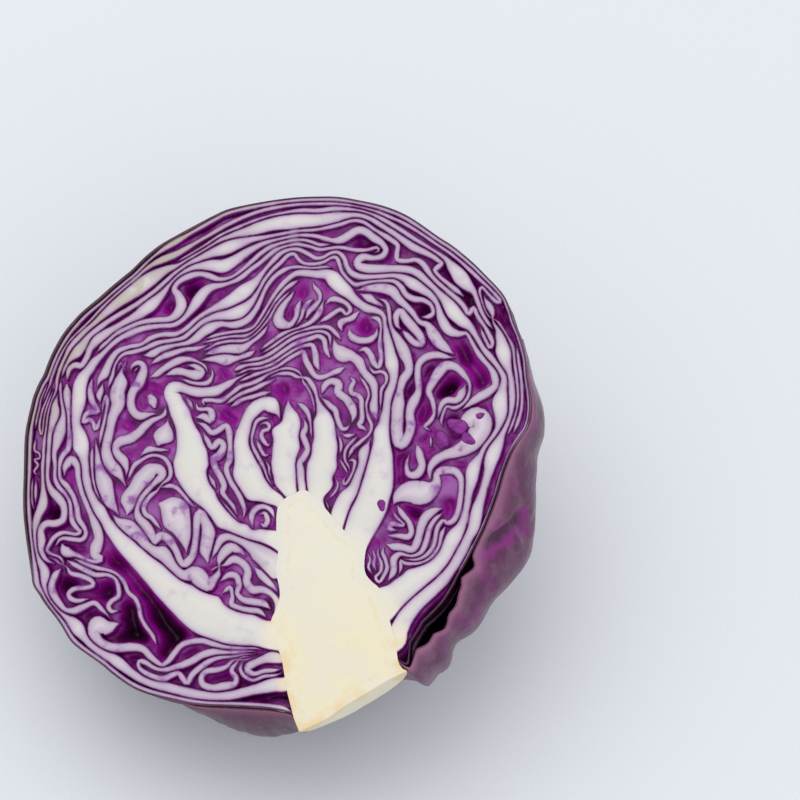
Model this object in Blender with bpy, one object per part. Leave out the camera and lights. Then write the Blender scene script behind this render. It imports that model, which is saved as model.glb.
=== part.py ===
"""Half a red cabbage, cut lengthwise through its core, at rest on its rounded side with the cut face up.

Head frame, in millimetres: the cut plane is z = 0, x runs to the right, y towards the crown, and the
half head lies below, on -z. The parent empty lays that frame on the table.
"""

import math
import random

import bpy
import numpy as np
from mathutils import Matrix, Vector

# Driving dimensions, in millimetres and degrees
MM = 0.001
DOME_DEPTH = 62.0
LEAF_THICKNESS = 1.3
LEAF_GAP = 0.55
CORE_CLEARANCE = 0.45
REST_TILT = 20.0
REST_SPIN = 28.0
REST_REACH = 58.2
LONGER_TOWARDS = 129.9
LONGER_BY = 1.038
STEM_ANGLE = 287.0
TURN = 2 * math.pi
DENSE = 1440
CENTRE = np.array((1.3, -3.8))

# Colours of the cut leaves, the core and the skin outside
LEAF_LILAC = (0.52, 0.36, 0.52)
CORE_CREAM = (0.86, 0.80, 0.62)
SKIN_PURPLE = (0.13, 0.05, 0.11)

# Closed outlines on the cut plane that the nested leaves follow, each from the stem round by the left side
HEAD_OUTLINE = (
    (15, -60), (0, -61.5), (-12.5, -59.8), (-33.8, -54.5), (-48.8, -43.8), (-60, -29.3),
    (-65.3, -9), (-64.8, 9), (-62.3, 21.5), (-57.5, 31.5), (-51.3, 38.8), (-36.3, 51.8),
    (-21.3, 61.3), (-5.8, 66), (13.8, 67.5), (30, 63.8), (42.5, 55), (53.8, 43.3),
    (60.5, 28.8), (62.8, 13.8), (59.8, -1.3), (51.3, -17.5), (40, -33.8), (31.5, -48),
)
LEFT_RIB_LEAF = (
    (13.8, -43.8), (1.3, -41.3), (-11.3, -39.3), (-23.8, -33.8), (-33.8, -25.8), (-43.8, -15),
    (-50, -3.8), (-52.3, 8.8), (-51.3, 20), (-47.5, 28.3), (-38.8, 34.3), (-28.8, 41.3),
    (-18.8, 50.8), (-8.8, 56.3), (3.8, 57.3), (16.3, 56.8), (28.8, 53.8), (38.8, 46.8),
    (46.3, 38.8), (51.3, 28.8), (53.8, 16.3), (52.5, 3.8), (48.3, -8.8), (42.5, -20),
    (35, -28.3), (26.3, -34.5),
)
RIGHT_RIB_LEAF = (
    (11.3, -31.3), (-2.5, -33.8), (-12.5, -26.8), (-23.8, -17.5), (-36.3, -7.5), (-44.3, 6.3),
    (-45.8, 17.5), (-41.8, 27.5), (-30, 32.5), (-16.3, 38.8), (-6.3, 45), (3.8, 48.8),
    (15, 47.5), (25, 37.5), (28.8, 25), (27.8, 11.3), (26.3, -1.3), (23.3, -13.8), (19.3, -25),
)
INNER_RIB_LEAF = (
    (8.3, -20), (-2.5, -19.5), (-12.5, -12.5), (-20, -3.8), (-24.8, 8.8), (-27.5, 17),
    (-21.3, 19.3), (-13.8, 21.8), (-5, 27.5), (3.8, 30.8), (13.8, 32.5), (19.3, 27.5),
    (22.5, 16.3), (23.3, 6.3), (20.8, -5), (16.3, -15),
)
HEART_LEAF = (
    (3.8, -12), (-2, -9.5), (-7, -5), (-11.3, 1.3), (-12.3, 8.8), (-8.3, 15.8), (0, 19.3),
    (8.3, 16.3), (13.3, 8.8), (12.8, 0), (10, -7.5),
)
BUD_OUTLINE = (
    (-5, -3.4), (-7.4, 0.5), (-8.3, 6.3), (-7.6, 12.5), (-4.8, 15), (-1.9, 13.5), (-1, 6.3), (-2, -1),
)
BUD_CENTRE = np.array((-4.8, 6.5))
BUD_DEPTH = 5.5

# Left and right edge of the core at a few places from the butt to the tip
CORE_EDGES = (
    ((3.8, -65.8), (31.3, -50.8)),
    ((1.0, -56.3), (28.8, -45.0)),
    ((0.3, -47.5), (26.8, -38.3)),
    ((-0.3, -38.8), (23.3, -31.3)),
    ((-1.0, -30.0), (19.3, -23.3)),
    ((-1.3, -21.3), (15.0, -16.8)),
    ((-1.3, -13.3), (10.8, -10.8)),
    ((-0.3, -6.8), (5.8, -4.8)),
    ((1.2, -1.8), (1.9, -1.6)),
)

# Each leaf from the outside in: outlines it lies between, share of the way, depth, rib side and rib thickness
LEAVES = (
    ("leaf_01", HEAD_OUTLINE, LEFT_RIB_LEAF, 0.06, 62.0, "left", 2.4),
    ("leaf_02", HEAD_OUTLINE, LEFT_RIB_LEAF, 0.27, 59.4, "right", 2.6),
    ("leaf_03", HEAD_OUTLINE, LEFT_RIB_LEAF, 0.50, 56.8, "left", 3.0),
    ("leaf_04", HEAD_OUTLINE, LEFT_RIB_LEAF, 0.74, 54.0, "right", 3.4),
    ("leaf_05", LEFT_RIB_LEAF, RIGHT_RIB_LEAF, 0.05, 50.5, "left", 6.0),
    ("leaf_06", LEFT_RIB_LEAF, RIGHT_RIB_LEAF, 0.50, 45.5, "right", 4.0),
    ("leaf_07", RIGHT_RIB_LEAF, INNER_RIB_LEAF, 0.00, 40.5, "right", 5.0),
    ("leaf_08", RIGHT_RIB_LEAF, INNER_RIB_LEAF, 0.34, 35.5, "left", 3.0),
    ("leaf_09", RIGHT_RIB_LEAF, INNER_RIB_LEAF, 0.68, 30.0, "right", 2.6),
    ("leaf_10", INNER_RIB_LEAF, HEART_LEAF, 0.03, 24.5, "left", 5.0),
    ("leaf_11", INNER_RIB_LEAF, HEART_LEAF, 0.48, 19.0, "right", 2.6),
    ("leaf_12", HEART_LEAF, HEART_LEAF, 0.00, 13.0, "right", 3.4),
)

# Rows of a leaf's bowl: degrees down from the cut plane, the share of its points kept and of its folds left
SKIN_ROWS = ((0, 1, 1.0), (11, 1, 0.8), (24, 2, 0.5), (38, 2, 0.3), (52, 2, 0.1), (66, 2, 0.0), (80, 4, 0.0))
HIDDEN_ROWS = ((0, 1, 1.0), (14, 1, 0.8), (36, 2, 0.35), (62, 4, 0.0))

# Outer leaves over the skin: the angles from stem to tip and the degrees down that they cover, how far they
# stand off in their middle, and a seed
WRAPPERS = (
    ("wrapper_right", (-54.0, 18.0), (1.0, 46.0), 4.2, 5),
    ("wrapper_left", (264.0, 201.0), (8.0, 40.0), 2.6, 8),
)
WRAPPER_COLUMNS = 27
WRAPPER_ROWS = 8
WRAPPER_CLEARANCE = 0.7

RIB_ANGLES = {"left": 250.0, "right": 322.0}
RIB_SPREAD = 38.0
FOLD_LENGTH = 6.5
FOLD_PER_ROOM = 2.1
POINT_SPACING = 2.9
FADE_NEAR_STEM = (24.0, 52.0)


def smooth_step(low, high, value):
    """0 below low, 1 above high, and a smooth rise between."""
    share = np.clip((np.asarray(value, float) - low) / (high - low), 0, 1)
    return share * share * (3 - 2 * share)


def ring_radius(outline, angles, centre=CENTRE):
    """Radius of a closed outline at each angle, as one smooth curve through its points."""
    offsets = np.array(outline, float) - centre
    known = np.arctan2(offsets[:, 1], offsets[:, 0]) % TURN
    order = np.argsort(known)
    known = np.concatenate([known[order] + turn for turn in (-TURN, 0, TURN)])
    radius = np.tile(np.hypot(offsets[:, 0], offsets[:, 1])[order], 3)
    slope = np.gradient(radius, known)
    angles = angles % TURN
    i = np.searchsorted(known, angles, side="right") - 1
    step = known[i + 1] - known[i]
    t = (angles - known[i]) / step
    return (
        radius[i] * (1 + 2 * t) * (1 - t) ** 2
        + slope[i] * step * t * (1 - t) ** 2
        + radius[i + 1] * t * t * (3 - 2 * t)
        + slope[i + 1] * step * t * t * (t - 1)
    )


def angle_from(angles, degrees):
    """How far each angle is from a direction, in degrees, from 0 to 180."""
    return np.abs((np.degrees(angles) - degrees + 180) % 360 - 180)


def folds(angles, radius, room, seed):
    """From -1 to 1 along a leaf: rounded folds, longer where the leaf has more room."""
    draw = random.Random(seed)
    length = FOLD_LENGTH + FOLD_PER_ROOM * room
    along = np.cumsum(radius * (angles[1] - angles[0]) / length)
    drift = sum(
        draw.uniform(0.15, 0.3) * np.sin(k * angles + draw.uniform(0, TURN)) for k in (3, 5, 8)
    )
    return np.tanh(1.5 * np.sin(TURN * (along + drift))) / math.tanh(1.5)


def lengthened(points):
    """The head is a little longer along one slant of the cut face."""
    slant = np.array((math.cos(math.radians(LONGER_TOWARDS)), math.sin(math.radians(LONGER_TOWARDS)), 0.0))
    points = np.array(points, float)
    return points + (points @ slant)[:, None] * slant * (LONGER_BY - 1)


def swing(points, degrees, depth, centre):
    """Turns points of the cut plane down into the head, towards a pole at the given depth."""
    offsets = points - centre
    reach = np.hypot(offsets[:, 0], offsets[:, 1])
    rounded = reach + (depth - reach) * smooth_step(10, 90, degrees)
    turn = math.radians(degrees)
    flat = centre + offsets / reach[:, None] * (rounded * math.cos(turn))[:, None]
    return lengthened(np.column_stack([flat, -rounded * math.sin(turn)]))


def table_direction():
    """Which way is down, in the head frame."""
    return (laying_turn().inverted() @ Vector((0, 0, -1))).normalized()


def laying_turn():
    """The turn that lays the head frame on the table."""
    tilt = Matrix.Rotation(math.radians(REST_TILT), 3, "X")
    return tilt @ Matrix.Rotation(math.radians(REST_SPIN), 3, "Z")


def pressed(points, inset):
    """Flattens what would reach past the table, so that the head lies on a flat spot."""
    down = np.array(table_direction())
    middle = np.array((*CENTRE, 0.0))
    past = np.maximum((points - middle) @ down - (REST_REACH - inset), 0)
    return points - past[:, None] * down


def stitched(upper, lower):
    """Triangles between two closed loops of vertex numbers, where the lower has as many or half as many."""
    faces = []
    n, m = len(upper), len(lower)
    for j in range(m):
        a, b = lower[j], lower[(j + 1) % m]
        if n == m:
            c, d = upper[j], upper[(j + 1) % n]
            faces += [(c, a, b), (c, b, d)]
        else:
            c, d, e = upper[2 * j], upper[2 * j + 1], upper[(2 * j + 2) % n]
            faces += [(c, a, d), (d, a, b), (d, b, e)]
    return faces


def bowl_mesh(loops_outside, loops_inside, poles):
    """Vertices and faces of a closed bowl from its outer and inner loops, rim first, and its two poles."""
    points, faces, rims = [], [], []
    for loops, pole, turned in ((loops_outside, poles[0], False), (loops_inside, poles[1], True)):
        start = len(points)
        numbers = []
        for loop in loops:
            numbers.append(list(range(start, start + len(loop))))
            points.extend(loop.tolist())
            start += len(loop)
        points.append(pole.tolist())
        side = []
        for upper, lower in zip(numbers, numbers[1:]):
            side += stitched(upper, lower)
        last = numbers[-1]
        side += [(last[j], start, last[(j + 1) % len(last)]) for j in range(len(last))]
        faces += [face[::-1] for face in side] if turned else side
        rims.append(numbers[0])
    outer, inner = rims
    faces += [face[::-1] for face in stitched(outer, inner)]
    return points, faces


def add_object(name, points, faces, colour, roughness):
    """A named object with its own material, from points in millimetres."""
    mesh = bpy.data.meshes.new(name)
    mesh.from_pydata([Vector(p) * MM for p in points], [], faces)
    mesh.validate()
    obj = bpy.data.objects.new(name, mesh)
    bpy.context.scene.collection.objects.link(obj)
    material = bpy.data.materials.new(name)
    material.use_nodes = True
    shader = material.node_tree.nodes["Principled BSDF"]
    shader.inputs["Base Color"].default_value = (*colour, 1)
    shader.inputs["Roughness"].default_value = roughness
    mesh.materials.append(material)
    return obj


def base_ring(leaf, angles):
    """The middle line of a leaf before it folds, as a radius at each angle."""
    outer, inner = ring_radius(leaf[1], angles), ring_radius(leaf[2], angles)
    return outer + (inner - outer) * leaf[3]


def leaf_bowl(index, angles):
    """One leaf as a bowl nested between its neighbours, with a rib at the core and a folded cut edge."""
    name, _, _, _, depth, side, rib = LEAVES[index]
    middle = base_ring(LEAVES[index], angles)
    if index > 0:
        out_bound = (base_ring(LEAVES[index - 1], angles) + middle) / 2
    else:
        out_bound = middle + LEAF_THICKNESS
    if index + 1 < len(LEAVES):
        in_bound = (base_ring(LEAVES[index + 1], angles) + middle) / 2
    else:
        in_bound = middle - 2.4
    room = (out_bound - in_bound) / 2
    lane = (out_bound + in_bound) / 2
    near_rib = np.exp(-((angle_from(angles, RIB_ANGLES[side]) / RIB_SPREAD) ** 2))
    wanted = LEAF_THICKNESS + (rib - LEAF_THICKNESS) * near_rib
    thick = np.clip(wanted, 0, 2 * room - LEAF_GAP)
    fade = smooth_step(*FADE_NEAR_STEM, angle_from(angles, STEM_ANGLE))
    swing_room = np.maximum(room - thick * 0.62 - LEAF_GAP / 2, 0) * fade
    wave = swing_room * folds(angles, lane, swing_room, seed=index)

    rim = lane + wave
    steps = np.hypot(np.gradient(rim), rim * (angles[1] - angles[0]))
    length = np.cumsum(steps)
    count = max(32, 8 * round(length[-1] / POINT_SPACING / 8))
    picked = np.searchsorted(length, np.arange(count) * length[-1] / count)
    rows = SKIN_ROWS if index == 0 else HIDDEN_ROWS
    outside, inside = [], []
    inset = index * (LEAF_THICKNESS + LEAF_GAP)
    for degrees, share, left in rows:
        radius = lane + wave * left
        across, up = radius * np.cos(angles), radius * np.sin(angles)
        normal = np.column_stack([np.gradient(up), -np.gradient(across)])
        normal /= np.hypot(normal[:, 0], normal[:, 1])[:, None]
        line = CENTRE + np.column_stack([across, up])
        grown = LEAF_THICKNESS + (thick - LEAF_THICKNESS) * math.cos(math.radians(degrees)) ** 2
        offset = normal * np.minimum(grown, thick)[:, None] / 2
        outer = swing((line + offset)[picked[::share]], degrees, depth, CENTRE)
        inner = swing((line - offset)[picked[::share]], degrees, depth - LEAF_THICKNESS, CENTRE)
        outside.append(pressed(outer, inset))
        inside.append(pressed(inner, inset + LEAF_THICKNESS))
    poles = [
        pressed(lengthened([[*CENTRE, -depth + drop]]), inset + drop)[0]
        for drop in (0, LEAF_THICKNESS)
    ]
    points, faces = bowl_mesh(outside, inside, poles)
    return add_object(name, points, faces, LEAF_LILAC, 0.45)


def bud():
    """The youngest leaf, curled up in the heart beside the core's tip."""
    angles = np.arange(32) * TURN / 32
    outside, inside = [], []
    for degrees, share in ((0, 1), (30, 1), (60, 2)):
        for loops, drop in ((outside, 0), (inside, 1.0)):
            radius = ring_radius(BUD_OUTLINE, angles, BUD_CENTRE) - drop
            line = BUD_CENTRE + np.column_stack([radius * np.cos(angles), radius * np.sin(angles)])
            loops.append(swing(line[::share], degrees, BUD_DEPTH - drop, BUD_CENTRE))
    poles = [lengthened([[*BUD_CENTRE, -BUD_DEPTH + drop]])[0] for drop in (0, 1.0)]
    points, faces = bowl_mesh(outside, inside, poles)
    return add_object("heart_bud", points, faces, LEAF_LILAC, 0.45)


def core_loft(name, grow, rise, segments=12):
    """The core as a loft of half rounds from the butt to the tip, grown all over and raised above the cut."""
    loops = []
    for number, (left, right) in enumerate(CORE_EDGES):
        left, right = np.array(left), np.array(right)
        half = (right - left) / 2
        middle = (left + right) / 2
        width = np.hypot(*half)
        across = half / width
        if number == 0:
            middle = middle + np.array((across[1], -across[0])) * grow * 12
        if number == len(CORE_EDGES) - 1:
            middle = middle + np.array((-across[1], across[0])) * grow
        turns = np.linspace(0, math.pi, segments)
        flat = middle + across * ((width + grow) * np.cos(turns))[:, None]
        down = -(width + grow) * np.sin(turns)
        loop = np.column_stack([flat, down])
        if rise:
            lid = loop[[-1, 0]] + np.array((0, 0, rise))
            loop = np.vstack([loop, lid])
        loops.append(loop)
    size = len(loops[0])
    points = np.vstack(loops)
    faces = []
    for row in range(len(loops) - 1):
        for j in range(size):
            a, b = row * size + j, row * size + (j + 1) % size
            faces.append((a, b, b + size, a + size))
    faces.append(tuple(range(size))[::-1])
    faces.append(tuple(range((len(loops) - 1) * size, len(loops) * size)))
    return add_object(name, lengthened(points), faces, CORE_CREAM, 0.5)


def wrapper(name, angle_range, turn_range, bulge, seed):
    """An outer leaf over the head's skin, from its base at the stem to its rounded tip, standing off in its middle."""
    draw = random.Random(seed)
    along = np.linspace(0, 1, WRAPPER_COLUMNS)
    angles = np.radians(angle_range[0] + (angle_range[1] - angle_range[0]) * along)
    margin = sum(
        draw.uniform(0.6, 1.0) * np.sin(TURN * k * along + draw.uniform(0, TURN)) for k in (2, 3.5, 6)
    )
    top = np.maximum(turn_range[0] + 1.3 * margin, 1.0)
    low = turn_range[1] * (0.22 + 0.78 * np.sqrt(1 - along**3.0))
    outer, inner = [], []
    for share in np.linspace(0, 1, WRAPPER_ROWS):
        turns = top + (low - top) * share
        swell = bulge * np.sin(math.pi * along) ** 0.7 * (0.55 + 0.45 * math.cos(math.pi * (share - 0.35)))
        for loops, lift in ((inner, 0.0), (outer, LEAF_THICKNESS)):
            away = swell + WRAPPER_CLEARANCE + LEAF_THICKNESS / 2 + lift
            flat = (ring_radius(HEAD_OUTLINE, angles) + away)[:, None]
            flat = CENTRE + flat * np.column_stack([np.cos(angles), np.sin(angles)])
            loops.extend(
                swing(point[None], turn, DOME_DEPTH + rise, CENTRE)[0]
                for point, turn, rise in zip(flat, turns, away)
            )
    points = np.vstack([outer, inner])
    half_count = len(outer)
    faces = []
    for row in range(WRAPPER_ROWS - 1):
        for j in range(WRAPPER_COLUMNS - 1):
            a = row * WRAPPER_COLUMNS + j
            b, c, d = a + 1, a + WRAPPER_COLUMNS + 1, a + WRAPPER_COLUMNS
            faces += [(a, d, b), (b, d, c)]
            faces += [tuple(k + half_count for k in face) for face in ((a, b, d), (b, c, d))]
    grid = np.arange(half_count).reshape(WRAPPER_ROWS, WRAPPER_COLUMNS)
    edge = [*grid[0], *grid[1:, -1], *grid[-1, -2::-1], *grid[-2:0:-1, 0]]
    edge = [int(k) for k in edge]
    for a, b in zip(edge, edge[1:] + edge[:1]):
        faces += [(a, b, b + half_count), (a, b + half_count, a + half_count)]
    if angle_range[1] < angle_range[0]:
        faces = [face[::-1] for face in faces]
    return add_object(name, points, faces, SKIN_PURPLE, 0.4)


def cut_out(obj, cutter):
    """Takes the core's place, and a small gap round it, out of a leaf."""
    cut = obj.modifiers.new("room_for_core", "BOOLEAN")
    cut.operation = "DIFFERENCE"
    cut.solver = "EXACT"
    cut.object = cutter


def lay_on_table(parts):
    """Parents every part to one empty that lays the head on its flat spot, over the origin."""
    rest = bpy.data.objects.new("rest", None)
    bpy.context.scene.collection.objects.link(rest)
    turn = laying_turn()
    corners = np.array(
        [turn @ vertex.co for part in parts for vertex in part.data.vertices if not part.hide_render]
    )
    low, high = corners.min(axis=0), corners.max(axis=0)
    place = Vector((-(low[0] + high[0]) / 2, -(low[1] + high[1]) / 2, -low[2]))
    rest.matrix_world = Matrix.Translation(place) @ turn.to_4x4()
    for part in parts:
        part.parent = rest


def build():
    for obj in list(bpy.data.objects):
        bpy.data.objects.remove(obj)
    start = math.radians(STEM_ANGLE)
    angles = start + np.arange(DENSE) * TURN / DENSE
    parts = [leaf_bowl(index, angles) for index in range(len(LEAVES))]
    clearance = core_loft("core_clearance", CORE_CLEARANCE, 3.0)
    clearance.hide_render = True
    clearance.display_type = "WIRE"
    for leaf in parts:
        cut_out(leaf, clearance)
    parts.append(bud())
    parts.append(core_loft("core", 0.0, 0.0))
    for name, angle_range, turn_range, bulge, seed in WRAPPERS:
        leaf = wrapper(name, angle_range, turn_range, bulge, seed)
        cut_out(leaf, clearance)
        parts.append(leaf)
    lay_on_table([*parts, clearance])


build()
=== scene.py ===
import math

import bmesh
import bpy
import numpy as np
from mathutils import Matrix, Vector
from mathutils.kdtree import KDTree


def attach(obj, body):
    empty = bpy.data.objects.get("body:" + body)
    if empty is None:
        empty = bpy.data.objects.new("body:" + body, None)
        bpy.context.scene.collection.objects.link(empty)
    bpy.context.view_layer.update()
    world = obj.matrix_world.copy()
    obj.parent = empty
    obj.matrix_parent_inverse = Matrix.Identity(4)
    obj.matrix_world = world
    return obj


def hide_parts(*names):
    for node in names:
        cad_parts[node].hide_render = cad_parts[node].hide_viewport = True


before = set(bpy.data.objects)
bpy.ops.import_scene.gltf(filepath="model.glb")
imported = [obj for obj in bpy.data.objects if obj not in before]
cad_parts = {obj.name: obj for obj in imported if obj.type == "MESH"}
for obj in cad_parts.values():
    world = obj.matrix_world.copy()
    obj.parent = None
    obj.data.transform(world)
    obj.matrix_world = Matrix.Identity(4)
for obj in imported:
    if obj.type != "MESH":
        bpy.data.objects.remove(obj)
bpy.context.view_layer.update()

# The cut face. The half head was cut lengthwise through its core with one knife stroke, so all cut edges
# lie in one plane. The face is drawn in quarter millimetres, and the head lies on its rounded side.
MM = 0.001
DRAWING_UNIT = 0.25
DRAWING_ORIGIN = (285.0, 465.0)
HEAD_CENTRE = np.array((1.3, -3.8))
LONGER_TOWARDS = math.radians(129.9)
LONGER_BY = 1.038
REST_TILT = math.radians(20.0)
REST_SPIN = math.radians(28.0)
REST_REACH = 58.2
FACE_ORIGIN = Vector((3.410, -4.541, 59.139))
FACE_TURN = Matrix.Rotation(REST_TILT, 3, "X") @ Matrix.Rotation(REST_SPIN, 3, "Z")
TURN = 2 * math.pi


def followed(text):
    """Points of a cut edge in millimetres, with the widest that it may be to each side."""
    points, widest = [], 2.0
    for word in text.split():
        values = [float(value) for value in word.split(",")]
        widest = values[2] if len(values) == 3 else widest
        across = (values[0] - DRAWING_ORIGIN[0]) * DRAWING_UNIT
        up = (DRAWING_ORIGIN[1] - values[1]) * DRAWING_UNIT
        points.append((across, up, widest * DRAWING_UNIT))
    return np.array(points)


def smooth_line(points, step):
    """A smooth curve through the points, with a station at every step of its length."""
    padded = np.vstack([2 * points[0] - points[1], points, 2 * points[-1] - points[-2]])
    share = np.linspace(0, 1, 12, endpoint=False)[:, None]
    pieces = []
    for a, b, c, d in zip(padded, padded[1:], padded[2:], padded[3:]):
        bend = (2 * a - 5 * b + 4 * c - d) * share**2 + (3 * b - a - 3 * c + d) * share**3
        pieces.append(b + 0.5 * ((c - a) * share + bend))
    line = np.vstack([*pieces, points[-1:]])
    length = np.concatenate([[0], np.cumsum(np.hypot(*np.diff(line[:, :2], axis=0).T))])
    stations = np.linspace(0, length[-1], max(5, round(length[-1] / step) + 1))
    return np.column_stack([np.interp(stations, length, line[:, k]) for k in range(line.shape[1])])


def smooth_step(low, high, value):
    """0 below low, 1 above high, and a smooth rise between."""
    share = np.clip((np.asarray(value, float) - low) / (high - low), 0, 1)
    return share * share * (3 - 2 * share)


def placed(points):
    """Where the head's points lie, in metres, once it is lengthened and pressed flat below."""
    points = np.array(points, float)
    slant = np.array((math.cos(LONGER_TOWARDS), math.sin(LONGER_TOWARDS), 0.0))
    points = points + (points @ slant)[:, None] * slant * (LONGER_BY - 1)
    down = np.array(FACE_TURN.inverted() @ Vector((0, 0, -1)))
    past = np.maximum((points - (*HEAD_CENTRE, 0)) @ down - REST_REACH, 0)
    points = points - past[:, None] * down
    return (points @ np.array(FACE_TURN).T + np.array(FACE_ORIGIN)) * MM


def new_piece(name, points, faces, attributes, finish, smooth=True):
    """A piece of the head with its measures kept on its points."""
    mesh = bpy.data.meshes.new(name)
    mesh.from_pydata(placed(points), [], faces)
    for label, values in attributes.items():
        mesh.attributes.new(label, "FLOAT", "POINT").data.foreach_set("value", np.array(values, np.float32))
    if smooth:
        mesh.shade_smooth()
    mesh.materials.append(finish)
    obj = bpy.data.objects.new(name, mesh)
    bpy.context.scene.collection.objects.link(obj)
    return obj


def paint(red, green, blue):
    """A colour as the eye reads it, from 0 to 255, as light."""
    shares = (value / 255 for value in (red, green, blue))
    return tuple(((share + 0.055) / 1.055) ** 2.4 if share > 0.04 else share / 12.92 for share in shares)


class Measure:
    """A number or colour inside a finish. The usual signs work on it."""

    def __init__(self, finish, socket):
        self.finish, self.socket = finish, socket

    def sum_with(self, other, operation, turned=False):
        pair = (other, self) if turned else (self, other)
        return self.finish.node("ShaderNodeMath", {"operation": operation}, dict(enumerate(pair)))

    def __add__(self, other):
        return self.sum_with(other, "ADD")

    def __sub__(self, other):
        return self.sum_with(other, "SUBTRACT")

    def __rsub__(self, other):
        return self.sum_with(other, "SUBTRACT", turned=True)

    def __mul__(self, other):
        return self.sum_with(other, "MULTIPLY")

    def __truediv__(self, other):
        return self.sum_with(other, "DIVIDE")

    __radd__, __rmul__ = __add__, __mul__

    def between(self, low, high):
        """0 below low and 1 above high."""
        settings = {"interpolation_type": "SMOOTHSTEP"}
        return self.finish.node("ShaderNodeMapRange", settings, {0: self, 1: low, 2: high})


class Finish:
    """A finish of the head, built from nodes."""

    def __init__(self, name, roughness, coat=0.0, shine=0.5):
        self.material = bpy.data.materials.new(name)
        self.material.use_nodes = True
        self.tree = self.material.node_tree
        self.shader = self.tree.nodes["Principled BSDF"]
        self.set(self.shader.inputs["Roughness"], roughness)
        self.set(self.shader.inputs["Coat Weight"], coat)
        self.set(self.shader.inputs["Specular IOR Level"], shine)

    def set(self, socket, value):
        if isinstance(value, Measure):
            self.tree.links.new(value.socket, socket)
        elif isinstance(value, tuple) and socket.type == "RGBA":
            socket.default_value = (*value, 1)
        else:
            socket.default_value = value

    def node(self, kind, settings, inputs, output=0):
        made = self.tree.nodes.new(kind)
        stops = settings.pop("stops", None)
        for key, value in settings.items():
            setattr(made, key, value)
        if stops:
            ramp = made.color_ramp
            while len(ramp.elements) < len(stops):
                ramp.elements.new(0.5)
            for element, (place, colour) in zip(ramp.elements, stops):
                element.position = place
                element.color = (*colour, 1)
        for key, value in inputs.items():
            self.set(made.inputs[key], value)
        return Measure(self, made.outputs[output])

    def attribute(self, name):
        return self.node("ShaderNodeAttribute", {"attribute_name": name}, {}, "Fac")

    def noise(self, size, detail=3.0, stretch=(1.0, 1.0, 1.0)):
        """Soft noise from about 0.3 to 0.7, in grains of the given size in millimetres."""
        place = self.node("ShaderNodeTexCoord", {}, {}, "Object")
        scaled = self.node("ShaderNodeVectorMath", {"operation": "MULTIPLY"}, {0: place, 1: stretch})
        inputs = {"Vector": scaled, "Scale": 1000 / size, "Detail": detail}
        return self.node("ShaderNodeTexNoise", {}, inputs)

    def cells(self, size):
        """Distance to the edges of wavy cells of the given size in millimetres: 0 on the edges."""
        place = self.node("ShaderNodeTexCoord", {}, {}, "Object")
        inputs = {"Vector": place, "Scale": 1500 / size, "Detail": 2.0}
        waves = self.node("ShaderNodeTexNoise", {}, inputs, 1)
        bent = self.node("ShaderNodeVectorMath", {"operation": "SCALE"}, {0: waves, "Scale": size * 0.0007})
        moved = self.node("ShaderNodeVectorMath", {"operation": "ADD"}, {0: place, 1: bent})
        settings = {"feature": "DISTANCE_TO_EDGE"}
        return self.node("ShaderNodeTexVoronoi", settings, {"Vector": moved, "Scale": 1000 / size})

    def mix(self, share, first, second):
        return self.node("ShaderNodeMix", {"data_type": "RGBA"}, {0: share, 6: first, 7: second}, 2)

    def finished(self, colour, height=None, depth=0.0001):
        self.set(self.shader.inputs["Base Color"], colour)
        if height is not None:
            bump = self.node("ShaderNodeBump", {}, {"Strength": 0.6, "Distance": depth, "Height": height})
            self.set(self.shader.inputs["Normal"], bump)
        return self.material


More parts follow.
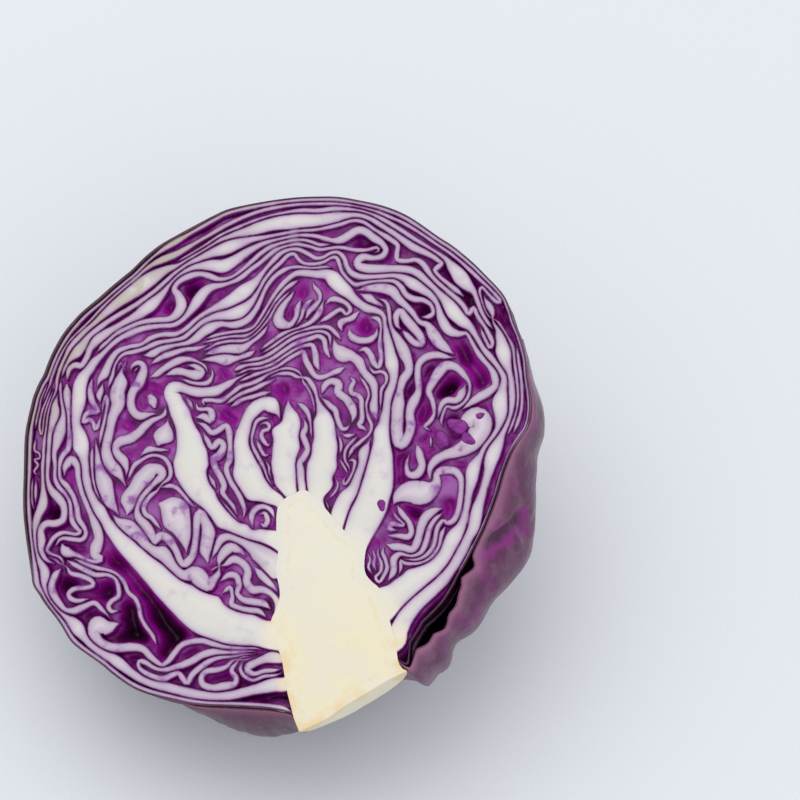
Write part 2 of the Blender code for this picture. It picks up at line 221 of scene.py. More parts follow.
# The leaves. Each is a thin bowl of watery flesh between two purple skins, crumpled where it grew against
# the next one out. The knife shows it as a pale line with two dark edges, and its midrib as a white wedge.
# A third number gives how wide the leaf may be to each side from there on.
RING_LEAVES = (
    "296,709,3 285,706 270,703.5,2 250,702.5 230,702 210,701.5 195,700 180,697 165,694 150,690 138,685"
    " 128,679 118,672 108,664 96,656 84,648 75,640 66,626 56,612 46,598 38,587,3 36,575 34,562,2.3"
    " 32,548,2 30,535 28,520 27,505 27,490 27,475 27,460 27,445 28,432 31,418 35,404 40,391 45,378,1.7"
    " 49,367 53,356 58,346 64,336 71,327 80,317 89,309 100,300,1.5 110,291 122,281 133,272 142,263 152,254"
    " 163,246,2.5 175,239,3 188,231.5,2 203,223 214,217 226,211 240,207 260,203 280,200 300,198 320,197.5"
    " 340,198 360,201.5 380,206 395,211 408,217 420,224.5 431,232.5 443,241 454,248 466,257.5 478,268"
    " 489,279 499,289 507,299 512,311 516,324 521,336 525,349 528,363 529,378 531,392 532,405 531,418"
    " 528,429 521,439 514,450,1.6 508,463 503,477 499,491 494,505 489,518 484,530 477,544 469,559 460,574",
    "38,403,1.5 43,391 47,380 51,368 56,357 62,347 69,338 78,329 88,319 98,308 109,297.5 121,287 133,277"
    " 143,268 152,262,2.5 163,257,3.5 175,252,3 186,246,2.5 198,239,2 212,231 226,223 242,215.5 260,209"
    " 280,204.5 300,202,1.8 320,201.5 340,202 360,205 378,210 393,216 406,222 418,229 430,237 442,245.5"
    " 453,253 464,262 476,273,2 487,284 496,293 504,302 500,303 493,296 486,288 483,292 485,300 488,309"
    " 493,316 499,323 505,331 511,340 516,350 518,362 520,375 521,388 521,400 519,412 515,424 510,436",
    "176,260,1.5 190,252.5 205,243.5,1.8 220,233.5 235,226.5 250,220.5 265,215.5 280,212 300,209,2.5"
    " 320,209 340,207 360,209 375,213.5 388,220 400,227 412,235 424,243 436,251 447,260,3.5 457,269,5"
    " 464,278,6.5 471,286,5 478,293,3 482,303 485,313 490,322,2.5 496,330",
    "291,682,6 280,683 268,686,5 252,690,4 236,694 220,695.5 204,694 188,691 172,687 158,684,3.5 145,679"
    " 132,671,4 120,662,5 108,656,3.5 96,648 88,640 80,630,6 70,620,4 58,611,3 49,600 45,588 45,575,5"
    " 39,562,3 35,547 34,532 37,518,3.5 42,506,4.5 42,492,2.5 41,475,2 41,460 42,445 43,430,2.2 45,417"
    " 49,403 53,390 56,378 59,367 63,357,2.5 67,347,4 74,338 82,330,2.5 92,322 103,312,3.5 115,301.5,5"
    " 128,292,6 141,283,6.5 153,275,5.5 165,268,3.5 176,264,2.5 188,257 200,250 210,244 220,238"
    " 232,233.5,3 245,230,4 260,225,6 275,220.5,7 290,219,7.5 305,218.5 320,218,6 335,216,5 350,213.5,3.5"
    " 362,213,3 374,217 384,224 396,232 407,240,3.5 418,247,4 430,252 440,257,3.5 447,263,3 442,267,2.5"
    " 438,271 443,278 452,285 461,292 467,297,2",
    "57,378,2 60,369 65,360,3 72,352,6 80,345,5.5 86,337,3 94,330 104,322,2.5 116,314.5 128,307.5"
    " 141,299.5 153,290.5 164,281 175,271.5 187,262,3 199,256,4 212,250,5 225,246.5,6 238,242,5"
    " 250,238.5,3 263,236,2.2 280,233,2 300,229.5 320,228 335,225 345,222.5 355,219.5 366,221 376,228"
    " 386,234,2.5 394,239,3 401,245,2.5 400,254 401,260 410,261 419,260 426,264,3 432,272 440,281"
    " 449,290,2.5 458,298 466,306,3 472,315,2.5 477,309 481,316 486,325 491,334 496,344 493,349 489,342,2"
    " 486,334 484,328",
    "64,381,2.5 66,370 72,365.5,3 79,366 84,358 87,348,3.5 94,339,5 103,334,4.5 114,327,3 126,320"
    " 138,313,4.5 149,304,6 159,295,4 168,284,2.5 178,274,3 189,268,3.5 201,265,4.5 212,264,5 223,265,6"
    " 234,260,5 244,253,4 254,247,3 266,241.5,2.2 280,238,2 300,234 315,234.5 326,237,2.5 336,240,3"
    " 345,238,4 352,234 360,229.5 369,231 377,237 385,243.5,3.5 389,250,3 385,256 376,257.5 367,256.5,3.5"
    " 361,260,4 362,266 372,269,4.5 386,269.5 400,269.5,4 413,270.5 422,275 430,283 438,291 446,300,5"
    " 455,310,7 464,320,6 473,330,4.5 480,341,3.5 487,351 495,361 502,370,3 507,380,4 505,391,5.5"
    " 503,403,7 504,416,6 501,428,3 495,438,2.5 488,447 483,457,3 477,468,5.5 473,481,6 470,495,4.5"
    " 468,508 465,521,5 459,533,6 452,545,7 446,557,8 436,568,10 423,577,11.5 410,586,13 397,596,15"
    " 385,607,17",
    "95,352,3 105,343 114,334,2.5 126,328 140,322.5 155,320,3 168,319 176,314,4 181,305,5 178,295,4"
    " 173,288,3 177,280,3.5 186,275,4 197,272,3.5 208,274.5,3 220,279 232,277,2.5 243,269,2.2 253,260"
    " 262,252 272,245.5 285,241 300,238.5,2 312,240.5 322,244 333,243.5",
    "290,636,14 275,634,15 258,630,17 240,626,17.5 222,620,18 204,611,17.5 188,600,15 172,587,13"
    " 157,573,11.5 143,560,10 129,547,9 117,534,7.5 107,521,6.5 98,508,5.5 91,495 87,480,5 84,465,6"
    " 81,451,8 78,438,6.5 74,425,5 75,410,6 77,396,7 80,383 86,371,5 93,361,4 101,352,3.5 110,343"
    " 120,337,3 132,331,3.5 146,327,3 160,325.5,2.5 174,324.5 184,318 192,308,4 199,298,5 206,290,4.5"
    " 214,285.5,3.5 226,282.5,3 240,277 251,269,2.5 261,262,2.2 269,255 277,249 288,245,2 300,243"
    " 312,245.5 322,248.5 333,247 345,247 358,249.5 370,249.5 380,247 382,250.5 377,252.5",
    "96,388,4 103,375,4.5 109,362,4 116,352,3 128,347,2.5 140,345 150,338 163,334.5 176,334 187,328"
    " 197,319 208,312,3 220,306,4 232,300,5.5 245,292,7 256,283,5 263,274,3 270,265,2.5 277,257 283,251.5"
    " 290,248.5 300,248.5,2.2 310,253 318,257.5 326,257 334,252.5 341,252 347,258,2.5 350,267 356,274,3"
    " 368,277 382,276.5 396,275.5 407,278,4 415,283,5.5 425,288 434,294,4.5 440,303,4 443,314 447,324,4.5"
    " 453,332 462,335,3 470,334,2.5 475,341,3 480,351 486,360 493,368 498,377,4 499,387 492,393 483,398"
    " 474,404,3 465,411,2.5",
    "107,388,3 112,376 115,364 122,355,2.5 134,351.5 147,347.5,3 158,343.5 170,341.5,2.5 183,338 193,330"
    " 204,321,3 217,316,4 230,315,5 243,310,6 253,301,4 260,290,2.5 265,280 273,270 282,262,2.2 290,254"
    " 296,253 300,258 306,263 316,264 326,261 333,257 339,257 342,264 345,273 352,281 359,285 372,282,2"
    " 386,281 397,281.5,2.5 404,287,3 409,295 417,299.5 427,301,2.5 435,306 437,314 431,318 425,318",
    "143,356,2.5 152,354,5 162,348,3.5 175,345,2.5 188,343 200,336,4.5 210,328,5 222,324,3 235,325,3.5"
    " 247,321 256,311,3 262,299,2.5 267,288 274,278 283,271 292,267,2 303,266.5 315,267.5 327,267 335,267",
    "360,537,12 367,520,14 373,505,15 377,490,15.5 380,475,14 382,460,12 384,445,10 386,430,8 388,416,6"
    " 390,404,5 393,391,5.5 396,378,5 394,364,7 392,350 390,338,5.5 388,326,4 386,316,4.5 378,311,5"
    " 368,308 358,301 348,290,7 339,280,8 330,273,6 319,273,4.5 308,272,4 298,273,3 289,279,2.5 281,288"
    " 275,297 269,307,2.2 263,317 256,327,2 246,331 234,332.5 220,335 206,339",
    "400,640,7 402,628,8 407,616 417,604,7 430,592,6.5 443,580,6 454,567,5 463,553,4.5 470,540,4 476,527,5"
    " 479,513,5.5 483,500,4 487,487,3.5 491,473,4 494,460,6 499,448,5.5 505,437,3.5 510,426,3 514,414"
    " 515,400,3.5 514,387 512,374,3 508,361,6 507,348,8 505,336,6 499,325,3 494,315,4.5 490,305,4"
    " 487,297,2",
    "520,350,2 521,365 523,380 524,394 524,408 521,421 516,434",
)
LEFT_FOLDS = (
    "44,385,1.5 38,400 34,415 32,430",
    "48,388,1.5 43,400 39,413 37,426,1.6 39,437,1.8 41,427,1.6 42,415,1.5 46,402 50,390",
    "33,440,1.3 32,452 37,455 38,460 32,462 36,467 32,474 37,478",
    "31,480,1.3 30,492 31,505 33,512",
    "34,482,1.6 34,494 34,505",
    "56,395,1.5 50,405,4 51,415,6 49,426,4 47,438,2.5 47,452 46,468,2 46,482 50,492,3 57,499,4 63,506"
    " 65,515,3.5 62,523,3 54,526 46,526 40,532 40,543,4.5 40,553,3.5 46,561,2.5 55,566,2",
    "57,380,2 57,394 60,406 61,418,3 58,430,5 55,443,4 52,455,2.5 54,468,2 54,480 58,489,2.5 65,496"
    " 70,505,3 71,516 74,525 79,531,2.5 82,534 76,537,2 64,535 55,539 50,546 47,553 52,558 59,561 64,567"
    " 68,573",
    "64,385,3.5 64,400,4 66,412,2.5 67,425,2 68,438 67,450,2.5 62,458,3 59,468 60,480 66,489 72,499 76,510"
    " 78,521 83,529 86,536,2.5 82,542 72,541 62,542 56,548",
    "63,478,3 63,468,4 70,461,5 77,467,3.5 78,480,2.5 81,492 86,504 91,516 97,528,4 100,540 97,550,5"
    " 97,558,4 103,561,2.5 96,564,2 84,561 73,557,3 65,553,5 62,546,4",
    "62,571,3 56,578 52,588 53,598,5 59,606,4 67,613,3 76,613 84,609 92,605 98,605,2.5 104,611,2"
    " 110,617,1.5 114,622",
    "76,560,2 88,566 99,570 110,573 120,578 127,585 131,594 138,600 142,608 144,618 149,627 156,636"
    " 160,645",
    "68,563,2.2 78,568 88,573 98,577 110,576 118,580 121,590 121,598 114,603 111,608 114,613 121,612",
    "50,559,2.2 58,562 65,568 70,575 82,578 92,582 95,587 87,590 76,591 70,596 73,601 81,603 91,601",
    "122,625,4 112,626,7 103,627,9 97,634,6 101,642,4 110,647,3.5 122,649 136,648 147,650,3 153,656"
    " 159,662 166,666,2.5 172,662 178,654 185,646 195,642 207,641 218,644 230,647,2 245,648,1.8"
    " 258,649,1.6 268,650,1.3",
    "262,652,1.5 248,653,2 232,653,2.5 218,652,3 206,655 196,661 184,666 172,669,2.5 160,668 150,663"
    " 143,662,2 143,668 149,673,2.5 158,677 168,679 176,675 183,673 188,679 192,682 197,674 205,667"
    " 214,661 224,657,2 238,655,1.8 252,654,1.5 262,653,1.3",
    "264,653,1.2 252,656,1.8 241,660,2 232,666 222,669,2.5 211,671 206,677 208,684,3 218,687 230,685,3.5"
    " 239,683,2.5 241,677,2.2 236,670 238,663 245,658,2 256,655,1.5",
    "247,661,1.8 245,668 249,675 258,679 268,675 279,674,1.5 287,671,1.3",
    "290,660,3 279,656,5 266,657,4.5 256,662 252,669,3 259,673,2.2 269,670 279,669,2 286,668,1.5",
)
LEFT_MIDDLE = (
    "113,516,3 121,524,5 130,530,6.5 140,537,6 149,546,5.5 159,553,6 168,558 176,567,5 186,576,4.5"
    " 197,575,6 205,582 213,586,5 220,579 223,567,4.5 227,556 234,548,4 243,551,3.5 249,557,3",
    "272,562,8 262,553,7 250,546,4.5 240,541,3.5 231,538,3 224,541,3.5 219,549,3 215,559",
    "127,482,2 130,474 137,465 147,458 157,456 165,459 171,467 172,477 166,485 158,492 150,500 145,508"
    " 147,516 154,520 160,527 163,531",
    "128,517,2.5 131,507,6 132,497,7 138,488,6.5 146,479,6 153,471,5 161,471,4 164,478,3.5 157,485,3"
    " 149,492,2.5 142,501 138,511 140,519,3 147,528,4 153,538 157,545,3 161,538,3.5 166,537 173,542"
    " 179,552 183,563 188,566 193,557,4 197,541 199,526,5 203,514,4.5 208,525,5 211,540,6 211,554,5.5"
    " 211,564,3",
    "161,505,6 169,509,11 178,517,13 186,528,11 189,542,8 190,555,4",
    "159,490,2 168,487 178,489 186,497 193,505 198,509",
    "166,408,2.5 165,415,3 156,418,3.5 148,425 140,434 130,440 120,443 115,450,3 118,458,4 124,464"
    " 128,472,2.5 127,480,2",
    "124,362,4 119,378,6 115,392 117,404,5 111,416,4.5 108,431,4 105,447,4.5 108,461,6 117,471,5 124,479,3"
    " 127,488,2",
    "169,421,3 167,431,9 163,442,14 160,449",
    "141,458,2 150,452,3 160,449 170,452,2",
    "98,448,1.8 101,436,2 104,422 106,408 105,397 102,404,1.6 101,414",
    "90,380,2.5 88,390 90,400 95,408 97,413,2 90,413 84,416 82,424 87,421,1.8 92,424 94,431 97,427"
    " 100,418,1.6",
    "100,383,2.5 98,394,3 99,404",
    "95,440,2 97,455,2.5 99,470,4 102,484,7 107,497,5.5 113,509,3.5 120,517,2.5",
    "92,448,1.8 91,460,2 92,475 95,490 100,501,1.6",
    "130,373,2.5 131,367 137,364 142,367,3 142,375,3.5 138.5,383.5 132.5,392,3 130,403 133.5,413 141,417.5"
    " 152,416 161,417,2.5",
    "215,572,2.5 226,566,3 236,560 246,563 252,572 250,582 256,590 266,590,2.5 276,594 281,602 278,612",
    "222,583,2 231,576,2.5 240,577 243,586 240,594 247,600 257,602 268,604 275,609",
    "226,594,2 234,588 237,597 235,605,2.5 243,609 253,611 263,612 270,617",
    "258,568,3 266,576 274,584,2.5 281,592",
    "149,396,5 153,402,9 155,409,6",
)
HEART_LEAVES = (
    "284,543,7 268,538,6 252,532,8 238,523,10 226,513,12 215,503,13.5 206,492,15 199,480,16 195,467,15.5"
    " 191,454,14 188,441,12 184,428,9.5 179,415,9 174,402,8.5 172,392,6 180,387,4.5 192,391 205,393"
    " 217,392,4 228,386,3 240,379,2.5 252,374",
    "286,500,8 272,497,9 260,487,14 251,474,13 246,460,11 243,446,9 247,433,6 250,421,4.5 256,411,5"
    " 265,405 274,406,6 281,413,4 283,421,2.5",
    "290,492,12 289,478,14.5 288.5,460 289,442,14 290,428,13.5 291,416,9 291,407,6 291,402,3",
    "322,505,8 322,492,12 323,478,14 327,465 328,450,12.5 328,435,12 326,420,10 322,408,6.5 318,396,3.5"
    " 312,386,3 304,378,2.5 293,373 282,374 272,380",
    "341,520,6 347,505 355,492 360,478 365,465,5 369,452,4.5 373,441,3",
    "273,420,1.5 266,419.5,1.8 259,422.5 256,430 254,439 255,448,2 259,456 263,463 267,470 271,479"
    " 276,487,1.5",
    "262,427,1.5 267,424 272,426,1.8 271,431 266,432 264,437,2 267,443,2.2 271,447,1.8 274,443,1.5",
    "258,440,1.5 261,446,1.8 264,452 268,457 273,455,1.5",
    "268,462,1.5 272,468,1.8 272,475 274,482,1.5",
    "306,419,2 309,428,3 305,436 308,443,3.5 311,451,3 307,458,4 302,464,3.5 303,473,5 304,482",
    "299,404,2 306,408,2.5 311,414,2.2 313,422,2 314,430,1.8 315,438,1.5",
    "206,408,2 204,402 212,401 222,402 232,396 242,388 252,385 262,381 272,375 284,371 296,372 306,380"
    " 313,390 317,402 318,414,1.5",
    "228,405,1.8 238,398,2 248,393 258,389 267,384 277,378",
    "233,408,2 243,401 255,398 265,395 273,393",
    "197,403,2 199,410 208,409 213,413,3 212,421,3.5 205,418,3 197,419,2.5",
    "199,424,2 206,427,2.5 213,434 220,432 228,427 232,436,3 233,449 233,461 229,470,2.5 233,482 239,491"
    " 244,500 247,511,2 246,520",
    "205,434,2 209,442,2.5 214,449 221,443,3 226,448 221,457 215,461 217,470 222,478 226,487 224,494"
    " 229,501,2.5 235,508 240,517,2",
    "222,500,2 229,509,2.5 236,517,3 243,524,2",
    "186,398,2 191,404,2.5 195,411",
    "211,476,2 214,484,3 219,491,2.5",
    "256,530,2 254,520,2.5 258,511 266,507.5,3 274,511 278,519,2.5",
    "263,516,2 268,514,2.5 271,521 268,527 263,524",
)
RIGHT_FOLDS = (
    "362,376,2 370,386,2.5 373,396 369,406,2 371,417 375,427 371,437 363,444 356,450 352,459",
    "324,395,3 329,384.5,3.5 336,381.5,4 342,386 340.5,392.5,3.5 345,397 350,401,4 355,408.5 357,417,3"
    " 355,423.5,2.5",
    "324,399,3 328,403,3.5 333,408 338,412 339.5,419,3 342,425.5 345,431 350,430,2.5 353,426",
    "344,434,2.5 349,437 355,436.5,2 360,435",
    "352,378,2 357,382,2.5 354,388.5 355,394.5 361,396.5 365,401,3 366,408 366,415 365,421.5,2.5 362,427"
    " 367,429.5,2 371,433,1.8",
    "341,432,2 343,440,2.2 344,448 343,456,2",
    "361,437.5,1.8 355,443 350,449 348,455 349,461 352,467 353,472",
    "351,463,1.6 355,461,2 359,463,2.5 358,470 355,477 352,483 348,486,2 347,482,1.8 350,477",
    "342,459,1.8 345,464 349,470 351,476",
    "338,478,1.5 341,486,1.8 338,493 333,499,1.6",
    "328,501,1.5 331,507 332,512",
    "380,301,3 388,304 392,315 394,327 400,340,4.5 406,352,6 411,362,4 412,372 406,381 403,392,3.5"
    " 401,404,6 400,418 399,432 403,444 410,440,4 414,428 413,414 417,403,4.5 422,392,3 421,378 422,366"
    " 428,359,3.5 438,356 449,357,3 458,358,2",
    "434,432,1.8 428,428,2 433,423,2.2 438,415,2.5 436,403 432,393,3 436,384,3.5 442,374,4.5 449,367"
    " 458,368,3.5 466,375,3 471,385,2.5 471,396 466,405 458,409 450,407,2 446,413 444,422 446,428,1.5",
    "441,420,2.5 444,410,3.5 450,403,4 460,402,3.5 466,396,5 470,386,4",
    "462,426,4 470,421,9 479,420,11 484,428,10 480,438,9 470,447,7 458,453,5 446,457,4 438,462 434,470,3.5"
    " 434,480,5",
    "397,506,3.5 403,497,6 413,493,9 426,493,10 436,485,7 439,474,4 448,471,3.5 458,472 464,479 465,490"
    " 464,502 462,512 457,521 450,524,3 446,521,2.5 441,528,3 440,538 437,548 430,556 420,560,2.5 408,560",
    "400,506,2.5 406,515,3 412,523 415,532 411,537 402,536,2.5 391,536,2",
    "396,512,1.5 401,519,2 408,526 396,524,2.5 393,529,3 400,531,2",
    "388,545,2 396,547,4 406,549,4.5 416,550,4 421,542 424,530,4.5 429,519,5 438,512,4.5 446,509,3",
    "446,513,3 438,519 432,529 429,541 424,552 414,556,2.5 403,553,3 397,560,4.5 397,571,4 392,580,3",
    "448,527,3 443,535 441,546 434,556 423,562,2.5 410,562 404,560,2 404,568,2.5 402,574,2",
    "388,546,2 386,553 389,560,2.5 391,568 387,576,2.2 383,582,1.8 379,577 384,571,2 385,563 381,555,1.8"
    " 382,547,1.6",
    "376,549,1.8 379,557 377,564,2 380,571,1.6",
    "371,553,1.6 374,560 372,567,1.8 376,574,1.5",
    "420,445,3 423,456,3.5 425,467 420,475,4 412,475,3 410,465,1.8 413,455",
    "434,438,3 434,448",
    "360,291,2.5 372,289,3.5 384,288,4.5 395,291,5 401,298,4 407,305,3.5 415,313,3 423,322 431,326"
    " 436,334,5 442,343 450,351,4 457,357,2.5",
    "363,294,3 372,298,5 382,302,4.5 388,308,3",
    "405,331,3 400,326 399,317,3.5 404,312,4 410,320,4.5 417,329,4 424,338,3.5 425,345,3 418,344 411,337"
    " 405,331",
)
TOP_FOLDS = (
    "315,281,2 317,287 322,293,2.2 323,300 318,306 312,311 308,319,2",
    "316,299,2 311,302 306,309 303,318 298,326",
    "303,300,2.5 300,308 299,318 293,326,3 285,325,4 279,319,5 281,310,4 287,301,3 293,294,2 296,290,1.8",
    "328,300,2.5 325,306 321,314 314,322,2 305,327 290,332 278,339 268,347 261,352",
    "327,303,2.5 333,299 342,300 350,304 354,311 349,316,2 344,310 337,313 330,318 322,323",
    "345,332,2 343,325,3 347,320 355,317,3.5 362,312,2.5",
    "352,330,3 354,337 362,341 372,341,2.5 380,336 381,328,2",
    "203,344,1.8 218,339.5 233,337 249,336 259,329 266,319 272,309 278,299 286,290 295,283 301,280",
    "204,350,2.2 217,344.5 231,341.5 246,341 257,335 266,325 273,315 279,305 286,298,1.8 293,292",
    "206,355,2 218,351,4 231,349.5,5 243,348,4 252,342,2.5 262,333 270,325,2",
    "203,361,2.5 214,359 226,359,5.5 238,360,3 249,356,2.5 258,351,2",
    "262,354,2 275,347 287,339 298,333 310,330 322,328,2.5 332,329 338,335 344,341,3",
    "240,363,2 255,361 268,357,2.5 280,349 291,341 302,336 314,333 325,332 334,337 335,347",
    "235,372,3 247,366,2.5 262,364 275,359 287,351 298,344 310,340 320,336 327,340 329,350 333,359",
    "237,377,2 250,371 263,369 276,364 288,356 298,350 308,346 315,346 318,355,2.5 319,364 322,372",
    "240,382,2 252,376 264,373 277,369 288,361 298,355 306,352 308,360,2.5 312,368 319,377 328,378 337,374"
    " 348,368",
    "335,338,3 337,348,6 345,355 355,357,4 363,364 367,375,5 374,385 377,397,4.5 378,410 380,421,3",
    "362,352,2.5 368,350 374,356 377,365,3 382,369,2.5 385,360 384,348 383,337 384,327 382,319,3 374,318",
    "371,366,2 377,373 384,372 390,376 390,384 385,391 384,401 384,410",
    "150,378,2.5 160,373,3 170,366 180,361 192,361,2.5 203,366 209,374,3",
    "165,376,2.5 176,372,3 187,374,4 197,377,5 205,372 198,366,3.5 188,366,3",
    "150,365,2 160,358,2.5 172,354 185,350,2 198,349 210,346,2.5",
    "137,368,2 133,372",
    "115,372,3 120,363,3.5 124,372",
    "182,380,3 195,384,2.5 208,384 213,376,2 212,368",
)
CORE_OUTLINE = (
    "304,728 299,716 296,705 292,690 289,673 286,657 281,644 277,632 275,622 279,612 282,604 284,596"
    " 283,586 281,578 280,570 281,560 282,550 280,540 280,528 280,517 282,507 288,500 298,495 308,491"
    " 320,500 332,513 341,524 350,533 360,539 370,545 369,553 368,562 369,573 375,581 383,588 388,600"
    " 393,618 397,634 400,646 401,656 404,664 410,668"
)
CORE_BUTT = "410,668 392,677 372,689 350,702 330,716 304,728"
RIM_BESIDE_CORE = "445,600 425,620 413,640 410,668"
BUTT_FADE = (-22.0, -48.0)
HEAD_STEPS = 720
OUTER_FROM = 0.8
MIDDLE_FROM = 0.42
THICK_HEART_LEAVES = 5
STATION = 0.62
TIGHTEST = 0.85
SKIN_GAP = 0.09
ROOT_REACH = 5.0
ROOT_NEAR = 3.2
RIB_CAP = 1.2
WIDER = 1.25
FOLDS_WIDER = (1.0, 1.1, 1.3, 1.2, 1.02, 1.2)
MERGING = 4.5
LEAF_DEPTH = 11.0
ROUNDING = 330.0
RIM_SPARE = 0.15
LEAF_SECTION = (
    (-1, 0.0, 0.13), (-1, 0.2, 0.02), (0, 0.0, 0.0), (1, 0.2, 0.02), (1, 0.0, 0.13),
    (1, 0.0, 0.7), (1, 0.0, 2.2), (1, 0.0, 5.5), (1, 0.0, LEAF_DEPTH),
    (-1, 0.0, LEAF_DEPTH), (-1, 0.0, 5.5), (-1, 0.0, 2.2), (-1, 0.0, 0.7),
)


def inside(outline, points):
    """Whether each point lies inside a closed outline."""
    found = np.zeros(len(points), bool)
    for (ax, ay), (bx, by) in zip(outline, np.roll(outline, -1, axis=0)):
        if ay != by:
            crossing = ax + (points[:, 1] - ay) / (by - ay) * (bx - ax)
            found ^= ((points[:, 1] < ay) != (points[:, 1] < by)) & (points[:, 0] < crossing)
    return found


def rooted(points, core):
    """A leaf's points, with one more inside the core where its thick end grows out of it."""
    middle = core.mean(axis=0)
    for end in (0, -1):
        place = points[end, :2]
        nearest = np.hypot(*(core - place).T).min()
        if points[end, 2] >= RIB_CAP and nearest < ROOT_NEAR:
            further = place - points[1 if end == 0 else -2, :2]
            inward = (middle - place) / np.hypot(*(middle - place)) + further / np.hypot(*further)
            root = [*(place + inward / np.hypot(*inward) * ROOT_REACH), points[end, 2]]
            points = np.vstack([[root], points] if end == 0 else [points, [root]])
    return points


def evened(values, rounds):
    """Values along a line with short bumps smoothed away."""
    for _ in range(rounds):
        padded = np.concatenate([values[:1], values, values[-1:]])
        values = (padded[:-2] + 2 * values + padded[2:]) / 4
    return values


def owners_of(lines):
    """For every station of all lines, its line's number and its length along it."""
    owner = np.concatenate([np.full(len(line), k) for k, line in enumerate(lines)])
    along = np.concatenate([np.arange(len(line)) * STATION for line in lines])
    return owner, along


def eased_apart(lines, rounds=5):
    """Moves cut edges that lie closer than two leaves are thick a little apart."""
    owner, along = owners_of(lines)
    for _ in range(rounds):
        places = np.vstack(lines)[:, :2]
        tree = KDTree(len(places))
        for number, (x, y) in enumerate(places):
            tree.insert((x, y, 0), number)
        tree.balance()
        push = np.zeros_like(places)
        for number, (x, y) in enumerate(places):
            for near, other, distance in tree.find_range((x, y, 0), TIGHTEST):
                same = owner[other] == owner[number]
                if same and abs(along[other] - along[number]) < 3 * TIGHTEST:
                    continue
                away = places[number] - places[other]
                push[number] += away / max(distance, 0.05) * (TIGHTEST - distance) / 3
        start = 0
        for line in lines:
            share = push[start : start + len(line)]
            start += len(line)
            line[:, 0] += evened(share[:, 0], 4)
            line[:, 1] += evened(share[:, 1], 4)
    return lines


def directions(line):
    """Unit directions along a line, and to its left."""
    ahead = np.gradient(line[:, :2], axis=0)
    ahead /= np.maximum(np.hypot(ahead[:, 0], ahead[:, 1]), 1e-6)[:, None]
    return ahead, np.column_stack([-ahead[:, 1], ahead[:, 0]])


def side_widths(lines, wider):
    """How wide every leaf is to its left and right, from its neighbours' distance and its own limit."""
    owner, along = owners_of(lines)
    places = np.vstack(lines)[:, :2]
    most = np.vstack(lines)[:, 2] * np.array(wider)[owner]
    ahead, left = (np.vstack(kind) for kind in zip(*map(directions, lines)))
    widths = np.tile(most, (2, 1))
    for start in range(0, len(places), 500):
        rows = slice(start, start + 500)
        apart = places[None] - places[rows, None]
        reach = np.hypot(apart[..., 0], apart[..., 1])
        across = np.einsum("ijk,ik->ij", apart, left[rows])
        forward = np.abs(np.einsum("ijk,ik->ij", apart, ahead[rows]))
        between = np.abs(along[None] - along[rows, None])
        same = (owner[None] == owner[rows, None]) & (between < 2.2 * reach + 0.9)
        share = most[rows, None] / (most[rows, None] + most[None])
        for side, sign in enumerate((1, -1)):
            seen = (across * sign > 0.05) & (forward < 0.5 * across * sign + 0.35) & ~same & (reach < 9)
            room = np.where(seen, reach * share - SKIN_GAP / 2, 99.0).min(axis=1)
            widths[side, rows] = np.minimum(widths[side, rows], room)
    return np.maximum(widths, 0.16)


def end_rounding(line, widths, core):
    """Rounds off a leaf's ends, save those that run into the core."""
    along = np.arange(len(line)) * STATION
    mean = max(float(np.median(widths)), 0.3)
    held = inside(core, line[[0, -1], :2])
    for distance, hidden in ((along, held[0]), (along[-1] - along, held[1])):
        if not hidden:
            widths = widths * np.sqrt(np.clip(distance / (1.6 * mean) + 0.08, 0, 1))
    return widths


